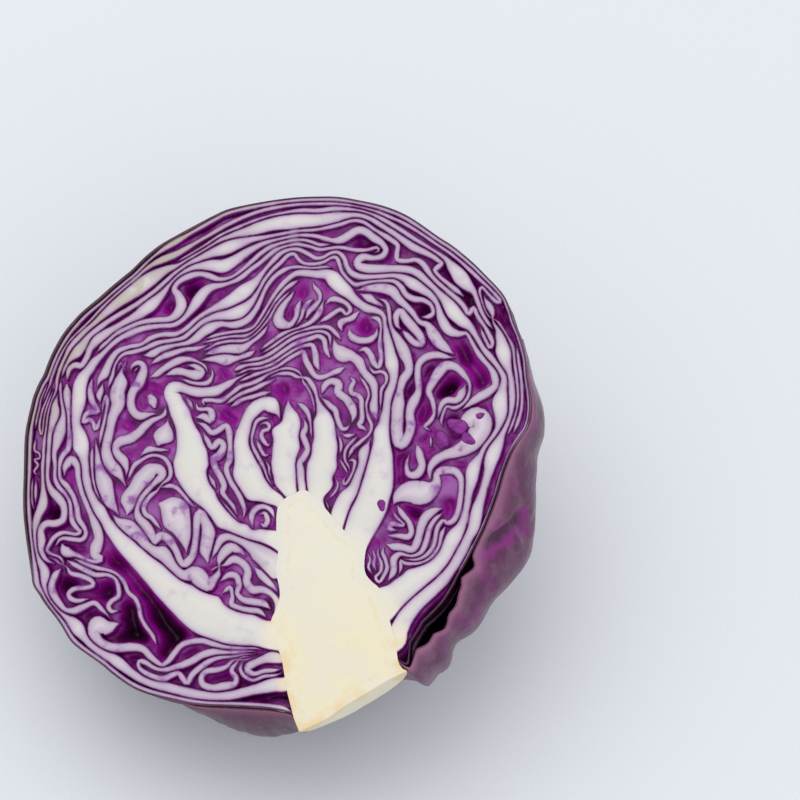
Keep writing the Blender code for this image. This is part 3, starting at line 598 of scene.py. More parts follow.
def leaf_strip(line, widths, start, thick):
    """Points, faces and measures of one leaf, from its cut edge down into the head."""
    ahead, left = directions(line)
    turning = np.gradient(np.unwrap(np.arctan2(ahead[:, 1], ahead[:, 0]))) / STATION
    tightest = TIGHTEST / np.maximum(np.abs(evened(turning, 1)), 1e-3)
    left_width = np.where(turning > 0, np.minimum(widths[0], tightest), widths[0])
    right_width = np.where(turning < 0, np.minimum(widths[1], tightest), widths[1])
    left_width, right_width = (
        evened(np.minimum(width, np.minimum(np.roll(width, 1), np.roll(width, -1)) * 1.3), 2)
        for width in (left_width, right_width)
    )
    rib = smooth_step(1.0, 2.2, (left_width + right_width) / 2) * thick
    rows, skin, below = [], [], []
    for side, inset, depth in LEAF_SECTION:
        width = right_width if side < 0 else left_width
        inset = np.minimum(inset, width * 0.5)
        offset = side * (width - inset) if side else (left_width - right_width) / 2
        spot = line[:, :2] + left * np.broadcast_to(offset, len(line))[:, None]
        from_centre = spot - HEAD_CENTRE
        reach = np.hypot(from_centre[:, 0], from_centre[:, 1])
        deep = depth * np.minimum(1, 0.8 * reach / LEAF_DEPTH) if depth > 0.5 else np.full(len(line), depth)
        drawn_in = np.sqrt(np.maximum(1 - (deep / (1.02 * np.maximum(reach, 1))) ** 2, 0.1))
        sway = 0.045 * deep * np.sin(spot[:, 0] * 0.31 + spot[:, 1] * 0.23 + deep * 0.3)
        turned = np.arctan2(from_centre[:, 1], from_centre[:, 0]) % TURN
        limit = np.interp(turned, head_angles, rim_radius, period=TURN) * (1 - deep / ROUNDING) + RIM_SPARE
        scale = drawn_in * (1 + sway / np.maximum(reach, 4))
        if depth > 0.1:
            scale = np.minimum(scale, limit / np.maximum(reach, 1))
        spot = HEAD_CENTRE + from_centre * scale[:, None]
        rows.append(np.column_stack([spot, -deep]))
        skin.append(np.broadcast_to(inset if side else (left_width + right_width) / 2, len(line)))
        below.append(deep)
    size = len(LEAF_SECTION)
    points = np.stack(rows, axis=1).reshape(-1, 3)
    faces = []
    for number in range(len(line) - 1):
        a, b = start + number * size, start + (number + 1) * size
        for k in range(size):
            faces.append((a + k, a + (k + 1) % size, b + (k + 1) % size, b + k))
    faces.append(tuple(range(start + size - 1, start - 1, -1)))
    last = start + (len(line) - 1) * size
    faces.append(tuple(range(last, last + size)))
    apart = np.hypot(*(line[:, None, :2] - core_outline[None]).transpose(2, 0, 1)).min(axis=1)
    merged = np.where(inside(core_outline, line[:, :2]), 1.0, 1 - smooth_step(0, MERGING, apart))
    near = merged * np.maximum(rib, 0.6)
    at = np.degrees(np.arctan2(line[:, 1] - HEAD_CENTRE[1], line[:, 0] - HEAD_CENTRE[0])) % 360
    rim = np.interp(np.radians(at), head_angles, rim_radius, period=TURN)
    outer = smooth_step(0.86, 0.99, np.hypot(*(line[:, :2] - HEAD_CENTRE).T) / rim)
    measures = {
        "green": np.repeat(outer * smooth_step(90, 115, at) * (1 - smooth_step(175, 205, at)), size),
        "skin": np.stack(skin, axis=1).ravel(),
        "below": np.stack(below, axis=1).ravel(),
        "rib": np.repeat(rib, size),
        "fold": np.full(len(points), 1.0 - thick),
        "near_core": np.repeat(near, size),
        "butt": smooth_step(*BUTT_FADE, points[:, 1]),
    }
    return points, faces, measures


def made_outward(piece):
    """Turns every face of a closed piece outwards."""
    work = bmesh.new()
    work.from_mesh(piece.data)
    bmesh.ops.triangulate(work, faces=[f for f in work.faces if len(f.verts) > 4])
    bmesh.ops.recalc_face_normals(work, faces=work.faces)
    work.to_mesh(piece.data)
    work.free()


def core_margin(finish):
    """The tone where ribs and core grow together, amber in places near the stalk."""
    cloud = finish.noise(9.0, 3.0)
    plain = finish.mix(finish.attribute("butt"), paint(224, 219, 207), paint(231, 223, 198))
    amber = cloud.between(0.44, 0.6) * finish.attribute("butt") * 0.7
    return finish.mix(amber, plain, paint(231, 201, 146))


def leaf_flesh():
    """Wet flesh, lilac in the thin leaves and nearly white in the ribs, dark purple at its skins, with
    painted shade below the cut.
    """
    finish = Finish("leaf_flesh", 0.36, coat=0.08, shine=0.3)
    skin = finish.attribute("skin")
    below = finish.attribute("below")
    rib = finish.attribute("rib")
    near = finish.attribute("near_core")
    bleed = finish.noise(3.4, 4.0)
    grain = finish.noise(0.5, 3.0)
    patch = finish.noise(6.5, 3.0)
    fold = finish.attribute("fold")
    stain = bleed.between(0.5, 0.68) * patch.between(0.42, 0.6) * fold
    depth = skin + (grain - 0.5) * 0.16 - (bleed - 0.5) * 0.5 * (1 - rib * 0.4)
    thin_stops = (
        (0.0, paint(72, 4, 70)), (0.05, paint(92, 18, 88)), (0.09, paint(136, 84, 138)),
        (0.14, paint(166, 138, 168)), (0.26, paint(184, 165, 184)), (1.0, paint(208, 196, 203)),
    )
    rib_stops = (
        (0.0, paint(78, 4, 76)), (0.05, paint(108, 30, 110)), (0.1, paint(166, 128, 168)),
        (0.2, paint(194, 178, 192)), (0.42, paint(210, 203, 204)), (1.0, paint(217, 213, 205)),
    )
    thin = finish.node("ShaderNodeValToRGB", {"stops": thin_stops}, {0: depth / 2.6})
    thick = finish.node("ShaderNodeValToRGB", {"stops": rib_stops}, {0: depth / 2.6})
    cut = finish.mix(rib, thin, thick)
    lilac = patch.between(0.5, 0.66) * bleed.between(0.4, 0.62)
    cut = finish.mix(lilac * (1 - near) * 0.4, cut, paint(186, 158, 192))
    cut = finish.mix(stain * 0.8, cut, paint(132, 44, 146))
    green = finish.attribute("green") * bleed.between(0.36, 0.56) * skin.between(0.1, 0.5)
    cut = finish.mix(green * 0.55, cut, paint(170, 168, 118))
    cut = finish.mix(near * skin.between(0.15, 0.6), cut, core_margin(finish))
    # Painted shade: the purple skin walls below the cut darken towards near black the deeper they go.
    wall_shade_stops = ((0.0, paint(134, 20, 134)), (0.3, paint(116, 4, 116)), (1.0, paint(44, 0, 44)))
    wall_skin_shade = finish.node("ShaderNodeValToRGB", {"stops": wall_shade_stops}, {0: below / 8 + (bleed - 0.5) * 0.6})
    colour = finish.mix(below.between(0.09, 0.35), cut, wall_skin_shade)
    return finish.finished(colour, grain * 0.4 + bleed * 0.5, 0.00012)


core_points = smooth_line(followed(CORE_OUTLINE), 1.2)[:, :2]
butt_points = smooth_line(followed(CORE_BUTT), 1.2)[1:-1, :2]
core_outline = np.vstack([core_points, butt_points])
families = (RING_LEAVES, LEFT_FOLDS, LEFT_MIDDLE, HEART_LEAVES, RIGHT_FOLDS, TOP_FOLDS)
cut_edges = [
    smooth_line(rooted(followed(text), core_outline), STATION) for family in families for text in family
]
cut_edges = eased_apart(cut_edges)
wider = [WIDER * share for family, share in zip(families, FOLDS_WIDER) for _ in family]
all_widths = side_widths(cut_edges, wider)

head_angles = np.arange(HEAD_STEPS) * TURN / HEAD_STEPS
outermost = np.vstack([cut_edges[0][:, :2], followed(RIM_BESIDE_CORE)[:, :2], butt_points])
from_centre = outermost - HEAD_CENTRE
outer_angles = np.arctan2(from_centre[:, 1], from_centre[:, 0]) % TURN
order = np.argsort(outer_angles)
rim_radius = np.interp(
    head_angles, outer_angles[order], np.hypot(*from_centre.T)[order], period=TURN
)

first_heart = len(RING_LEAVES) + len(LEFT_FOLDS) + len(LEFT_MIDDLE)
heart_numbers = range(first_heart, first_heart + THICK_HEART_LEAVES)
groups = {"leaves_outer": [], "leaves_middle": [], "leaves_heart": []}
start = 0
for number, line in enumerate(cut_edges):
    widths = all_widths[:, start : start + len(line)]
    start += len(line)
    offsets = line[:, :2] - HEAD_CENTRE
    radius = np.interp(np.arctan2(offsets[:, 1], offsets[:, 0]) % TURN, head_angles, rim_radius)
    out = float(np.mean(np.hypot(*offsets.T) / radius))
    inner = "leaves_middle" if out > MIDDLE_FROM else "leaves_heart"
    group = "leaves_outer" if out > OUTER_FROM else inner
    rounded = np.stack([end_rounding(line, w, core_outline) for w in widths])
    thick = 1.0 if number < len(RING_LEAVES) or number in heart_numbers else 0.0
    groups[group].append((line, rounded, thick))

flesh = leaf_flesh()
REPLACED = {
    "leaves_outer": ("leaf_02", "leaf_03", "leaf_04"),
    "leaves_middle": ("leaf_05", "leaf_06", "leaf_07", "leaf_08", "leaf_09"),
    "leaves_heart": ("leaf_10", "leaf_11", "leaf_12", "heart_bud"),
}
for name, members in groups.items():
    points, faces, kept = [], [], []
    for line, widths, thick in members:
        made = leaf_strip(line, widths, sum(map(len, points)), thick)
        points.append(made[0])
        faces.extend(made[1])
        kept.append(made[2])
    measures = {label: np.concatenate([k[label] for k in kept]) for label in kept[0]}
    leaves = new_piece(name, np.vstack(points), faces, measures, flesh)
    made_outward(leaves)
    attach(leaves, "root")
    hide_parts(*REPLACED[name])

# Vein ends. Fine veins run through the flesh of the thicker leaves, and where the knife crossed one, its
# pale yellowish end shows on the cut edge. Each is a bead of less than half a millimetre, sunk into the
# flesh so that at most its cap shows.
DOT_SPACING = 4.2
DOT_RADIUS = 0.2
DOT_LEAVES = 15
DOT_ROOM = 0.36
DOT_SUNK = 0.9


def new_tree(name, sockets):
    """A node tree with the given inputs and a mesh as output, and the way to add a linked node to it."""
    tree = bpy.data.node_groups.new(name, "GeometryNodeTree")
    for label, kind in sockets.items():
        tree.interface.new_socket(label, in_out="INPUT", socket_type="NodeSocket" + kind)
    tree.interface.new_socket("Geometry", in_out="OUTPUT", socket_type="NodeSocketGeometry")

    def add(kind, **links):
        made = tree.nodes.new(kind)
        for key, socket in links.items():
            tree.links.new(socket, made.inputs[key.replace("_", " ")])
        return made

    return tree, add


def dot_tree():
    """Small beads at given points, of slightly different sizes."""
    sockets = {
        "Geometry": "Geometry", "Radius": "Float", "Spread": "Float", "Seed": "Int", "Finish": "Material",
    }
    tree, add = new_tree("vein_dots", sockets)
    given = add("NodeGroupInput").outputs
    bead = add("GeometryNodeMeshIcoSphere", Radius=given["Radius"])
    bead.inputs["Subdivisions"].default_value = 1
    sizes = add("FunctionNodeRandomValue", Seed=given["Seed"])
    spread = add("ShaderNodeMath")
    spread.operation = "SUBTRACT"
    spread.inputs[0].default_value = 1.0
    tree.links.new(given["Spread"], spread.inputs[1])
    tree.links.new(spread.outputs[0], sizes.inputs[2])
    sizes.inputs[3].default_value = 1.0
    points = add("GeometryNodeMeshToPoints", Mesh=given["Geometry"])
    beads = add("GeometryNodeInstanceOnPoints", Points=points.outputs[0], Instance=bead.outputs["Mesh"])
    tree.links.new(sizes.outputs[1], beads.inputs["Scale"])
    real = add("GeometryNodeRealizeInstances", Geometry=beads.outputs["Instances"])
    painted = add("GeometryNodeSetMaterial", Geometry=real.outputs["Geometry"], Material=given["Finish"])
    add("NodeGroupOutput", Geometry=painted.outputs["Geometry"])
    return tree


def made_by(tree, name, points, edges, values):
    """The plain mesh that a node tree makes from points and the lines between them, as a new piece."""
    mesh = bpy.data.meshes.new(name + "_source")
    mesh.from_pydata(placed(points), edges, [])
    source = bpy.data.objects.new(name + "_source", mesh)
    bpy.context.scene.collection.objects.link(source)
    laid = source.modifiers.new(tree.name, "NODES")
    laid.node_group = tree
    for item in tree.interface.items_tree:
        if item.in_out == "INPUT" and item.name in values:
            laid[item.identifier] = values[item.name]
    seen = source.evaluated_get(bpy.context.evaluated_depsgraph_get())
    mesh = bpy.data.meshes.new_from_object(seen)
    bpy.data.objects.remove(source)
    mesh.shade_smooth()
    piece = bpy.data.objects.new(name, mesh)
    bpy.context.scene.collection.objects.link(piece)
    return piece


def vein_dots():
    draw = np.random.default_rng(11)
    spots = []
    start = 0
    for line in cut_edges[:DOT_LEAVES]:
        widths = all_widths[:, start : start + len(line)]
        start += len(line)
        middle = line[:, :2] + directions(line)[1] * ((widths[0] - widths[1]) / 2)[:, None]
        place = draw.uniform(1, DOT_SPACING)
        while place < (len(line) - 4) * STATION:
            station = int(place / STATION)
            in_core = inside(core_outline, middle[station : station + 1])[0]
            if min(widths[:, station]) > DOT_ROOM and not in_core:
                beside = middle[station] + draw.uniform(-0.12, 0.12, 2)
                spots.append((*beside, -DOT_SUNK * DOT_RADIUS))
            place += draw.uniform(0.4, 1.6) * DOT_SPACING
    finish = Finish("vein_end", 0.35, coat=0.2)
    tone = finish.mix(finish.noise(2.0).between(0.4, 0.6), paint(232, 222, 170), paint(240, 234, 200))
    values = {"Radius": DOT_RADIUS * MM, "Spread": 0.35, "Seed": 4, "Finish": finish.finished(tone)}
    return made_by(dot_tree(), "vein_dots", spots, [], values)


dots = vein_dots()
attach(dots, "root")

# Skin spots. In a few places the knife left a flat bit of vivid purple skin on the pale flesh, to the
# right of the core. Each is an irregular oval, given by its place on the face, its two radii and its turn
# in degrees.
SPOTS = ("385,506 4 6 10", "483,417 4.5 3.2 20", "461,427 11 7 160", "445,441 7 9 20", "471,440 8 5 140")
SPOT_SIDES = 28
SPOT_ROWS = ((0.5, 0.17), (0.85, 0.13), (1.0, 0.0), (0.9, -0.3))


def spot_finish():
    """Vivid purple skin, darker at its edge."""
    finish = Finish("spot_skin", 0.34, coat=0.1, shine=0.3)
    cloud = finish.noise(1.6, 4.0)
    colour = finish.mix(cloud.between(0.4, 0.62), paint(106, 6, 108), paint(140, 26, 142))
    colour = finish.mix(finish.attribute("edge") * 0.7, colour, paint(84, 4, 84))
    return finish.finished(colour, cloud, 0.0002)


def skin_spots():
    round_it = np.arange(SPOT_SIDES) * TURN / SPOT_SIDES
    points, faces, edge = [], [], []
    for number, spot in enumerate(SPOTS):
        place, wide, tall, lean = spot.split()
        wobble = 1 + 0.09 * np.sin(3 * round_it + number) + 0.03 * np.sin(5 * round_it + 2 * number)
        across = float(wide) * DRAWING_UNIT * np.cos(round_it)
        up = float(tall) * DRAWING_UNIT * np.sin(round_it)
        lean = math.radians(float(lean))
        turned = ((math.cos(lean), math.sin(lean)), (-math.sin(lean), math.cos(lean)))
        oval = np.column_stack([across, up]) @ np.array(turned)
        middle = followed(place)[0, :2]
        first, count = len(points), len(round_it)
        for share, height in SPOT_ROWS:
            flat = middle + oval * (wobble * share)[:, None]
            points += [(x, y, height) for x, y in flat]
            edge += [float(share > 0.9)] * count
        points += [(*middle, 0.18), (*middle, -0.3)]
        edge += [0.0, 0.0]
        top, low = first + len(SPOT_ROWS) * count, first + len(SPOT_ROWS) * count + 1
        for k in range(count):
            after = (k + 1) % count
            for row in range(len(SPOT_ROWS) - 1):
                a, b = first + row * count, first + (row + 1) * count
                faces.append((a + k, b + k, b + after, a + after))
            faces.append((top, first + k, first + after))
            faces.append((low, low - 1 - count + after, low - 1 - count + k))
    return new_piece("skin_spots", np.array(points), faces, {"edge": np.array(edge)}, spot_finish())


spots_piece = skin_spots()
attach(spots_piece, "root")

# The hollows between the leaves. Each leaf goes on below the cut, so a gap is a narrow valley between
# purple skins that slope down from the cut edges. It is shallow where the leaves press together and deep
# in the few open pockets, which are given by place, size and strength.
HOLLOW_START = 0.3
HOLLOW_SLOPE = 1.55
HOLLOW_DEPTH = 9.0
HOLLOW_INSET = 0.9
HOLLOW_RINGS = 112
HOLLOW_FLOOR = 13.0
HOLLOW_FOOT = 0.9
DEEP_POCKETS = (
    ("150,612", 34.0, 2.2), ("120,582", 20.0, 2.2), ("182,648", 24.0, 2.4), ("262,697", 22.0, 4.0),
    ("432,385", 12.0, 2.0), ("400,470", 20.0, 1.0), ("424,507", 14.0, 1.0), ("452,498", 14.0, 1.0),
    ("190,300", 14.0, 3.0), ("472,303", 15.0, 4.0), ("449,273", 10.0, 4.0), ("427,308", 14.0, 4.0),
    ("80,600", 20.0, 2.5), ("104,644", 16.0, 2.5), ("60,512", 12.0, 3.0), ("510,325", 16.0, 3.0),
    ("524,352", 12.0, 4.0), ("496,326", 10.0, 4.0), ("407,322", 10.0, 3.0), ("412,388", 12.0, 2.5),
    ("455,412", 12.0, 1.0), ("135,385", 10.0, 2.0), ("375,240", 10.0, 3.0), ("300,320", 10.0, 2.0),
    ("240,388", 12.0, 1.0), ("68,545", 10.0, 3.0), ("140,650", 12.0, 2.0),
)
SHALLOW_POCKETS = (
    ("449,487", 12.0, 0.8), ("446,442", 12.0, 0.5), ("165,415", 14.0, 0.5), ("238,352", 12.0, 0.4),
)
HOLLOW_SMOOTHING = 3
RIM_DEEPER = 2.2
RIGHT_DEEPER = 1.0


def hollow_finish():
    """Purple skins seen inside the gaps, with painted shade: vivid near the cut and darkened to almost
    black far down.
    """
    finish = Finish("hollow_skin", 0.42, coat=0.06, shine=0.25)
    below = finish.attribute("below")
    patch = finish.noise(5.0, 4.0)
    fine = finish.noise(1.4, 3.0)
    # Painted shade: these stops run from vivid purple near the cut to near black at the hollows' floor.
    stops = (
        (0.0, paint(78, 4, 76)), (0.06, paint(112, 14, 112)), (0.14, paint(150, 24, 146)),
        (0.36, paint(138, 4, 130)), (0.62, paint(84, 0, 74)), (1.0, paint(24, 0, 20)),
    )
    depth = below / HOLLOW_DEPTH + (fine - 0.5) * 0.1 + (patch - 0.47) * 0.6
    deep = finish.node("ShaderNodeValToRGB", {"stops": stops}, {0: depth})
    pale = patch.between(0.47, 0.62) * (1 - below.between(1.4, 3.2)) * below.between(0.35, 0.8)
    colour = finish.mix(pale * 0.7, deep, paint(164, 106, 174))
    return finish.finished(colour, fine + patch, 0.0003)


def pocket_at(spots, place, size, steepness):
    """1 in the middle of a pocket, and nearly 0 well outside it."""
    apart = np.hypot(*(spots - followed(place)[0, :2]).T) / (size * DRAWING_UNIT)
    return 1 / (1 + apart**steepness)


def hollows():
    edges = []
    for members in groups.values():
        for line, widths, _ in members:
            left = directions(line)[1]
            edges += [line[:, :2] + left * widths[0][:, None], line[:, :2] - left * widths[1][:, None]]
    edges = np.vstack(edges)
    tree = KDTree(len(edges))
    for number, (x, y) in enumerate(edges):
        tree.insert((x, y, 0), number)
    tree.balance()
    shares = np.linspace(1, 1 / HOLLOW_RINGS, HOLLOW_RINGS)
    around = np.column_stack([np.cos(head_angles), np.sin(head_angles)])
    reach = (rim_radius - HOLLOW_INSET)[:, None]
    spots = np.vstack([HEAD_CENTRE + around * (reach * share) for share in shares])
    away = np.array([tree.find((x, y, 0))[2] for x, y in spots])
    pocket = np.zeros(len(spots))
    for place, size, strength in DEEP_POCKETS:
        pocket = np.maximum(pocket, strength * pocket_at(spots, place, 1.6 * size, 4))
    across, up = spots.T
    ripple = 0.5 + 0.5 * np.sin(across * 0.9 + 2 * np.sin(up * 0.5)) * np.cos(up * 0.8)
    right = smooth_step(-45, -20, up - HEAD_CENTRE[1]) * smooth_step(18, 30, across)
    outward = smooth_step(0.8, 0.94, np.repeat(shares, len(head_angles)))
    slope = HOLLOW_SLOPE * (0.4 + 0.9 * ripple) + pocket
    slope += RIM_DEEPER * outward + RIGHT_DEEPER * right * (1 - outward)
    for place, size, strength in SHALLOW_POCKETS:
        slope *= 1 - strength * pocket_at(spots, place, 1.3 * size, 6)
    below = np.minimum(HOLLOW_START + slope * away, HOLLOW_DEPTH).reshape(HOLLOW_RINGS, -1)
    for _ in range(HOLLOW_SMOOTHING):
        below = (below + np.roll(below, 1, axis=1) + np.roll(below, -1, axis=1)) / 3
        below[1:-1] = (below[1:-1] + below[:-2] + below[2:]) / 3
    below = below.ravel()
    count = len(head_angles)
    points = np.vstack([np.column_stack([spots, -below]), [(*HEAD_CENTRE, -2.0)]])
    foot = HEAD_CENTRE + (points[:count, :2] - HEAD_CENTRE) * HOLLOW_FOOT
    rim = np.column_stack([foot, np.full(count, -HOLLOW_FLOOR)])
    points = np.vstack([points, rim])
    faces = []
    for row in range(HOLLOW_RINGS - 1):
        for k in range(count):
            a, b = row * count + k, row * count + (k + 1) % count
            faces.append((a, b, b + count, a + count))
    last, pole, low = (HOLLOW_RINGS - 1) * count, HOLLOW_RINGS * count, HOLLOW_RINGS * count + 1
    for k in range(count):
        after = (k + 1) % count
        faces.append((last + k, last + after, pole))
        faces.append((k, low + k, low + after, after))
    faces.append(tuple(range(low, low + count))[::-1])
    # The closing floor takes the full depth, so it gets the darkest painted shade.
    measures = {"below": np.concatenate([below, [2.0], np.full(count, HOLLOW_DEPTH)])}
    return new_piece("leaf_hollows", points, faces, measures, hollow_finish())


hollow_piece = hollows()
made_outward(hollow_piece)
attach(hollow_piece, "root")

# The core. It is the stem's solid flesh, cream and a little yellow towards its edges. All ribs grow out of
# it, so its cut side lies level with theirs. It ends in the slanting face where the head was cut off its
# stalk.
CORE_RISE = 0.05
CORE_DEPTH = 13.0
CORE_ROWS = (0.0, 0.01, 0.04, 0.12, 0.3, 0.5, 0.7, 0.85, 0.95, 0.995)
BUTT_FAN = 10
CORE_MIDDLE = "357,697 344,665 333,630 322,590 305,545 300,505"
CORE_TOP = (0.97, 0.7, 0.45, 0.28, 0.16, 0.08, 0.03)


def core_flesh():
    """Cream flesh with faint fibres along it, yellow towards its edge and purple skin down its sides."""
    finish = Finish("core_flesh", 0.4, coat=0.06, shine=0.3)
    edge = finish.attribute("skin")
    below = finish.attribute("below")
    cloud = finish.noise(11.0, 3.0)
    fibre = finish.noise(1.6, 4.0)
    butt = finish.attribute("butt")
    cream = finish.mix(butt, paint(229, 223, 203), paint(233, 223, 190))
    cream = finish.mix(cloud.between(0.4, 0.65) * 0.5, cream, paint(226, 219, 206))
    margin = core_margin(finish)
    colour = finish.mix(edge.between(0.6, 3.4), margin, cream)
    seam = edge.between(2.2, 3.0) * (1 - edge.between(3.0, 4.2)) * fibre.between(0.42, 0.6)
    colour = finish.mix(seam * 0.35, colour, paint(226, 204, 158))
    colour = finish.mix(fibre.between(0.55, 0.75) * 0.15, colour, paint(216, 202, 168))
    side = below.between(0.1, 0.4) * finish.attribute("side")
    colour = finish.mix(side, colour, paint(128, 48, 136))
    return finish.finished(colour, fibre * 0.6, 0.00012)


def core_piece():
    """The core from its outline on the cut face down to its rounded underside."""
    middle_line = smooth_line(followed(CORE_MIDDLE), 1.0)[:, :2]
    is_butt = np.arange(len(core_outline)) >= len(core_points) - 1
    is_butt[0] = True
    apart = core_outline[:, None] - middle_line[None]
    index = np.argmin(np.hypot(apart[..., 0], apart[..., 1]), axis=1)
    tip = int(np.argmax(index))
    index[: tip + 1] = np.maximum.accumulate(index[: tip + 1])
    index[tip : len(core_points)] = np.maximum.accumulate(index[tip : len(core_points)][::-1])[::-1]
    index[is_butt] = 0
    nearest = middle_line[index]
    within = middle_line[np.maximum(index, BUTT_FAN)]
    outward = core_outline - nearest
    room = np.maximum(np.hypot(*outward.T), 0.5)
    depth = np.where(is_butt, CORE_DEPTH, np.minimum(CORE_DEPTH, room + 0.5))
    rows, below, edge = [], [], []
    for share in CORE_TOP:
        spot = within + (core_outline - within) * (1 - share)
        rows.append(np.column_stack([spot, np.full(len(spot), CORE_RISE)]))
        below.append(np.zeros(len(spot)))
        edge.append(np.hypot(*(core_outline - within).T) * share)
    for share in CORE_ROWS:
        spot = nearest + outward * math.sqrt(1 - share**2)
        rows.append(np.column_stack([spot, CORE_RISE - depth * share]))
        below.append(depth * share)
        edge.append(np.zeros(len(spot)))
    count = len(core_outline)
    points = np.vstack(rows)
    faces = []
    for row in range(len(rows) - 1):
        for k in range(count):
            a, b = row * count + k, row * count + (k + 1) % count
            faces.append((a, a + count, b + count, b))
    faces.append(tuple(range(count)))
    last = (len(rows) - 1) * count
    faces.append(tuple(range(last + count - 1, last - 1, -1)))
    measures = {
        "skin": np.concatenate(edge),
        "below": np.concatenate(below),
        "butt": smooth_step(*BUTT_FADE, points[:, 1]),
        "side": np.tile(np.where(is_butt, 0.0, 1.0), len(rows)),
    }
    return new_piece("cut_core", points, faces, measures, core_flesh(), smooth=False)


core = core_piece()
made_outward(core)
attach(core, "root")
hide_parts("core")

# The outermost leaf of the head. Its outside is the rounded skin that the half lies on, dusky purple under
# a grey bloom. It swells a little over the leaves below it, steps down where their margins end, and is
# pressed to a small flat spot where the head lies.
DOME_DEPTH = 62.0
DOME_OUT = 0.3
DOME_EXTRA = 0.5
DOME_TURNS = (0, 0.6, 1.2, 2, 3, 4, 5.5, 7, *range(9, 88, 2))
MARGINS = ((34.0, 13.0, 0.7, 0.55), (58.0, 9.0, 3.4, 0.45))
BED_DEPTH = 14.0
BUTT_ANGLES = (275.0, 301.0)
BUTT_RECESS = 5.0
WRAPPER_SHADE_FROM = 296.0
LUMPS = (
    (3, 2.0, 0.5, 0.4), (5, 3.1, 1.9, 0.3), (8, 1.7, 4.0, 0.22),
    (13, 4.3, 0.9, 0.14), (21, 2.6, 2.2, 0.08),
)


def rim_at(angles):
    return np.interp(angles % TURN, head_angles, rim_radius)


def lumps(angles, degrees):
    """Swells of the leaves below the skin, and low steps where one leaf's margin overlaps the next."""
    turn = np.radians(degrees)
    swells = sum(
        size * np.sin(around * angles + start) * np.cos(down * turn * 2 + start)
        for around, down, start, size in LUMPS
    )
    for middle, wander, start, height in MARGINS:
        line = middle + wander * np.sin(angles + start)
        line = line + 3 * np.sin(4 * angles + start) + np.sin(11 * angles)
        swells = swells + height * (smooth_step(-1.2, 1.2, degrees - line) - 0.5)
    return swells


def skin_reach(angles, degrees):
    """How far the skin stands off the outermost cut edge: less at the right, where a wrapper covers it."""
    at = np.degrees(angles) % 360
    left = smooth_step(30, 60, at) * (1 - smooth_step(262, 275, at))
    off = DOME_OUT + DOME_EXTRA * np.maximum(left, smooth_step(0, 12, degrees))
    return off + smooth_step(0, 14, degrees) * lumps(angles, degrees)


def swung(angles, degrees, out, depth=DOME_DEPTH):
    """Points of the rounded side: at each angle round the head and each turn down from the cut face."""
    at = np.degrees(angles) % 360
    first, last = BUTT_ANGLES
    butt = smooth_step(first - 3, first, at) * (1 - smooth_step(last, last + 3, at))
    reach = rim_at(angles) + out - BUTT_RECESS * butt * (1 - smooth_step(10, 34, degrees))
    rounded = reach + (depth + out - reach) * smooth_step(10, 90, degrees)
    turn = np.radians(degrees)
    around = np.column_stack([np.cos(angles), np.sin(angles)])
    flat = HEAD_CENTRE + around * (rounded * np.cos(turn))[:, None]
    return np.column_stack([flat, -rounded * np.sin(turn)])


def skin_finish(name, red, green, blue, veins=1.0):
    """Dusky purple skin with a grey bloom and paler veins, darkened by painted shade where a wrapper lies
    over it.
    """
    finish = Finish(name, 0.45, coat=0.04, shine=0.3)
    cloud = finish.noise(14.0, 4.0)
    speckle = finish.noise(1.1, 4.0)
    streak = finish.noise(5.0, 5.0, (1.0, 1.0, 0.35))
    network = 1 - finish.cells(8.0).between(0.0, 0.1)
    edge = finish.attribute("edge")
    deep = paint(red, green, blue)
    bloom = paint(red + 30, green + 27, blue + 30)
    colour = finish.mix(cloud.between(0.3, 0.72), deep, bloom)
    colour = finish.mix(streak.between(0.5, 0.75) * 0.4 * veins, colour, paint(118, 84, 110))
    colour = finish.mix(network * 0.2 * veins, colour, paint(126, 92, 118))
    colour = finish.mix(speckle.between(0.56, 0.72) * 0.3, colour, paint(40, 16, 34))
    colour = finish.mix(edge * 0.8, colour, paint(92, 80, 62))
    # Painted shade: where a wrapper lies over the skin, the skin is darkened to near-black purple.
    shade = finish.mix(streak.between(0.5, 0.66), paint(30, 0, 25), paint(104, 8, 88))
    colour = finish.mix(finish.attribute("wrapper_shade") * 0.95, colour, shade)
    return finish.finished(colour, speckle * 0.4 + streak + network * 0.3 * veins, 0.0006)


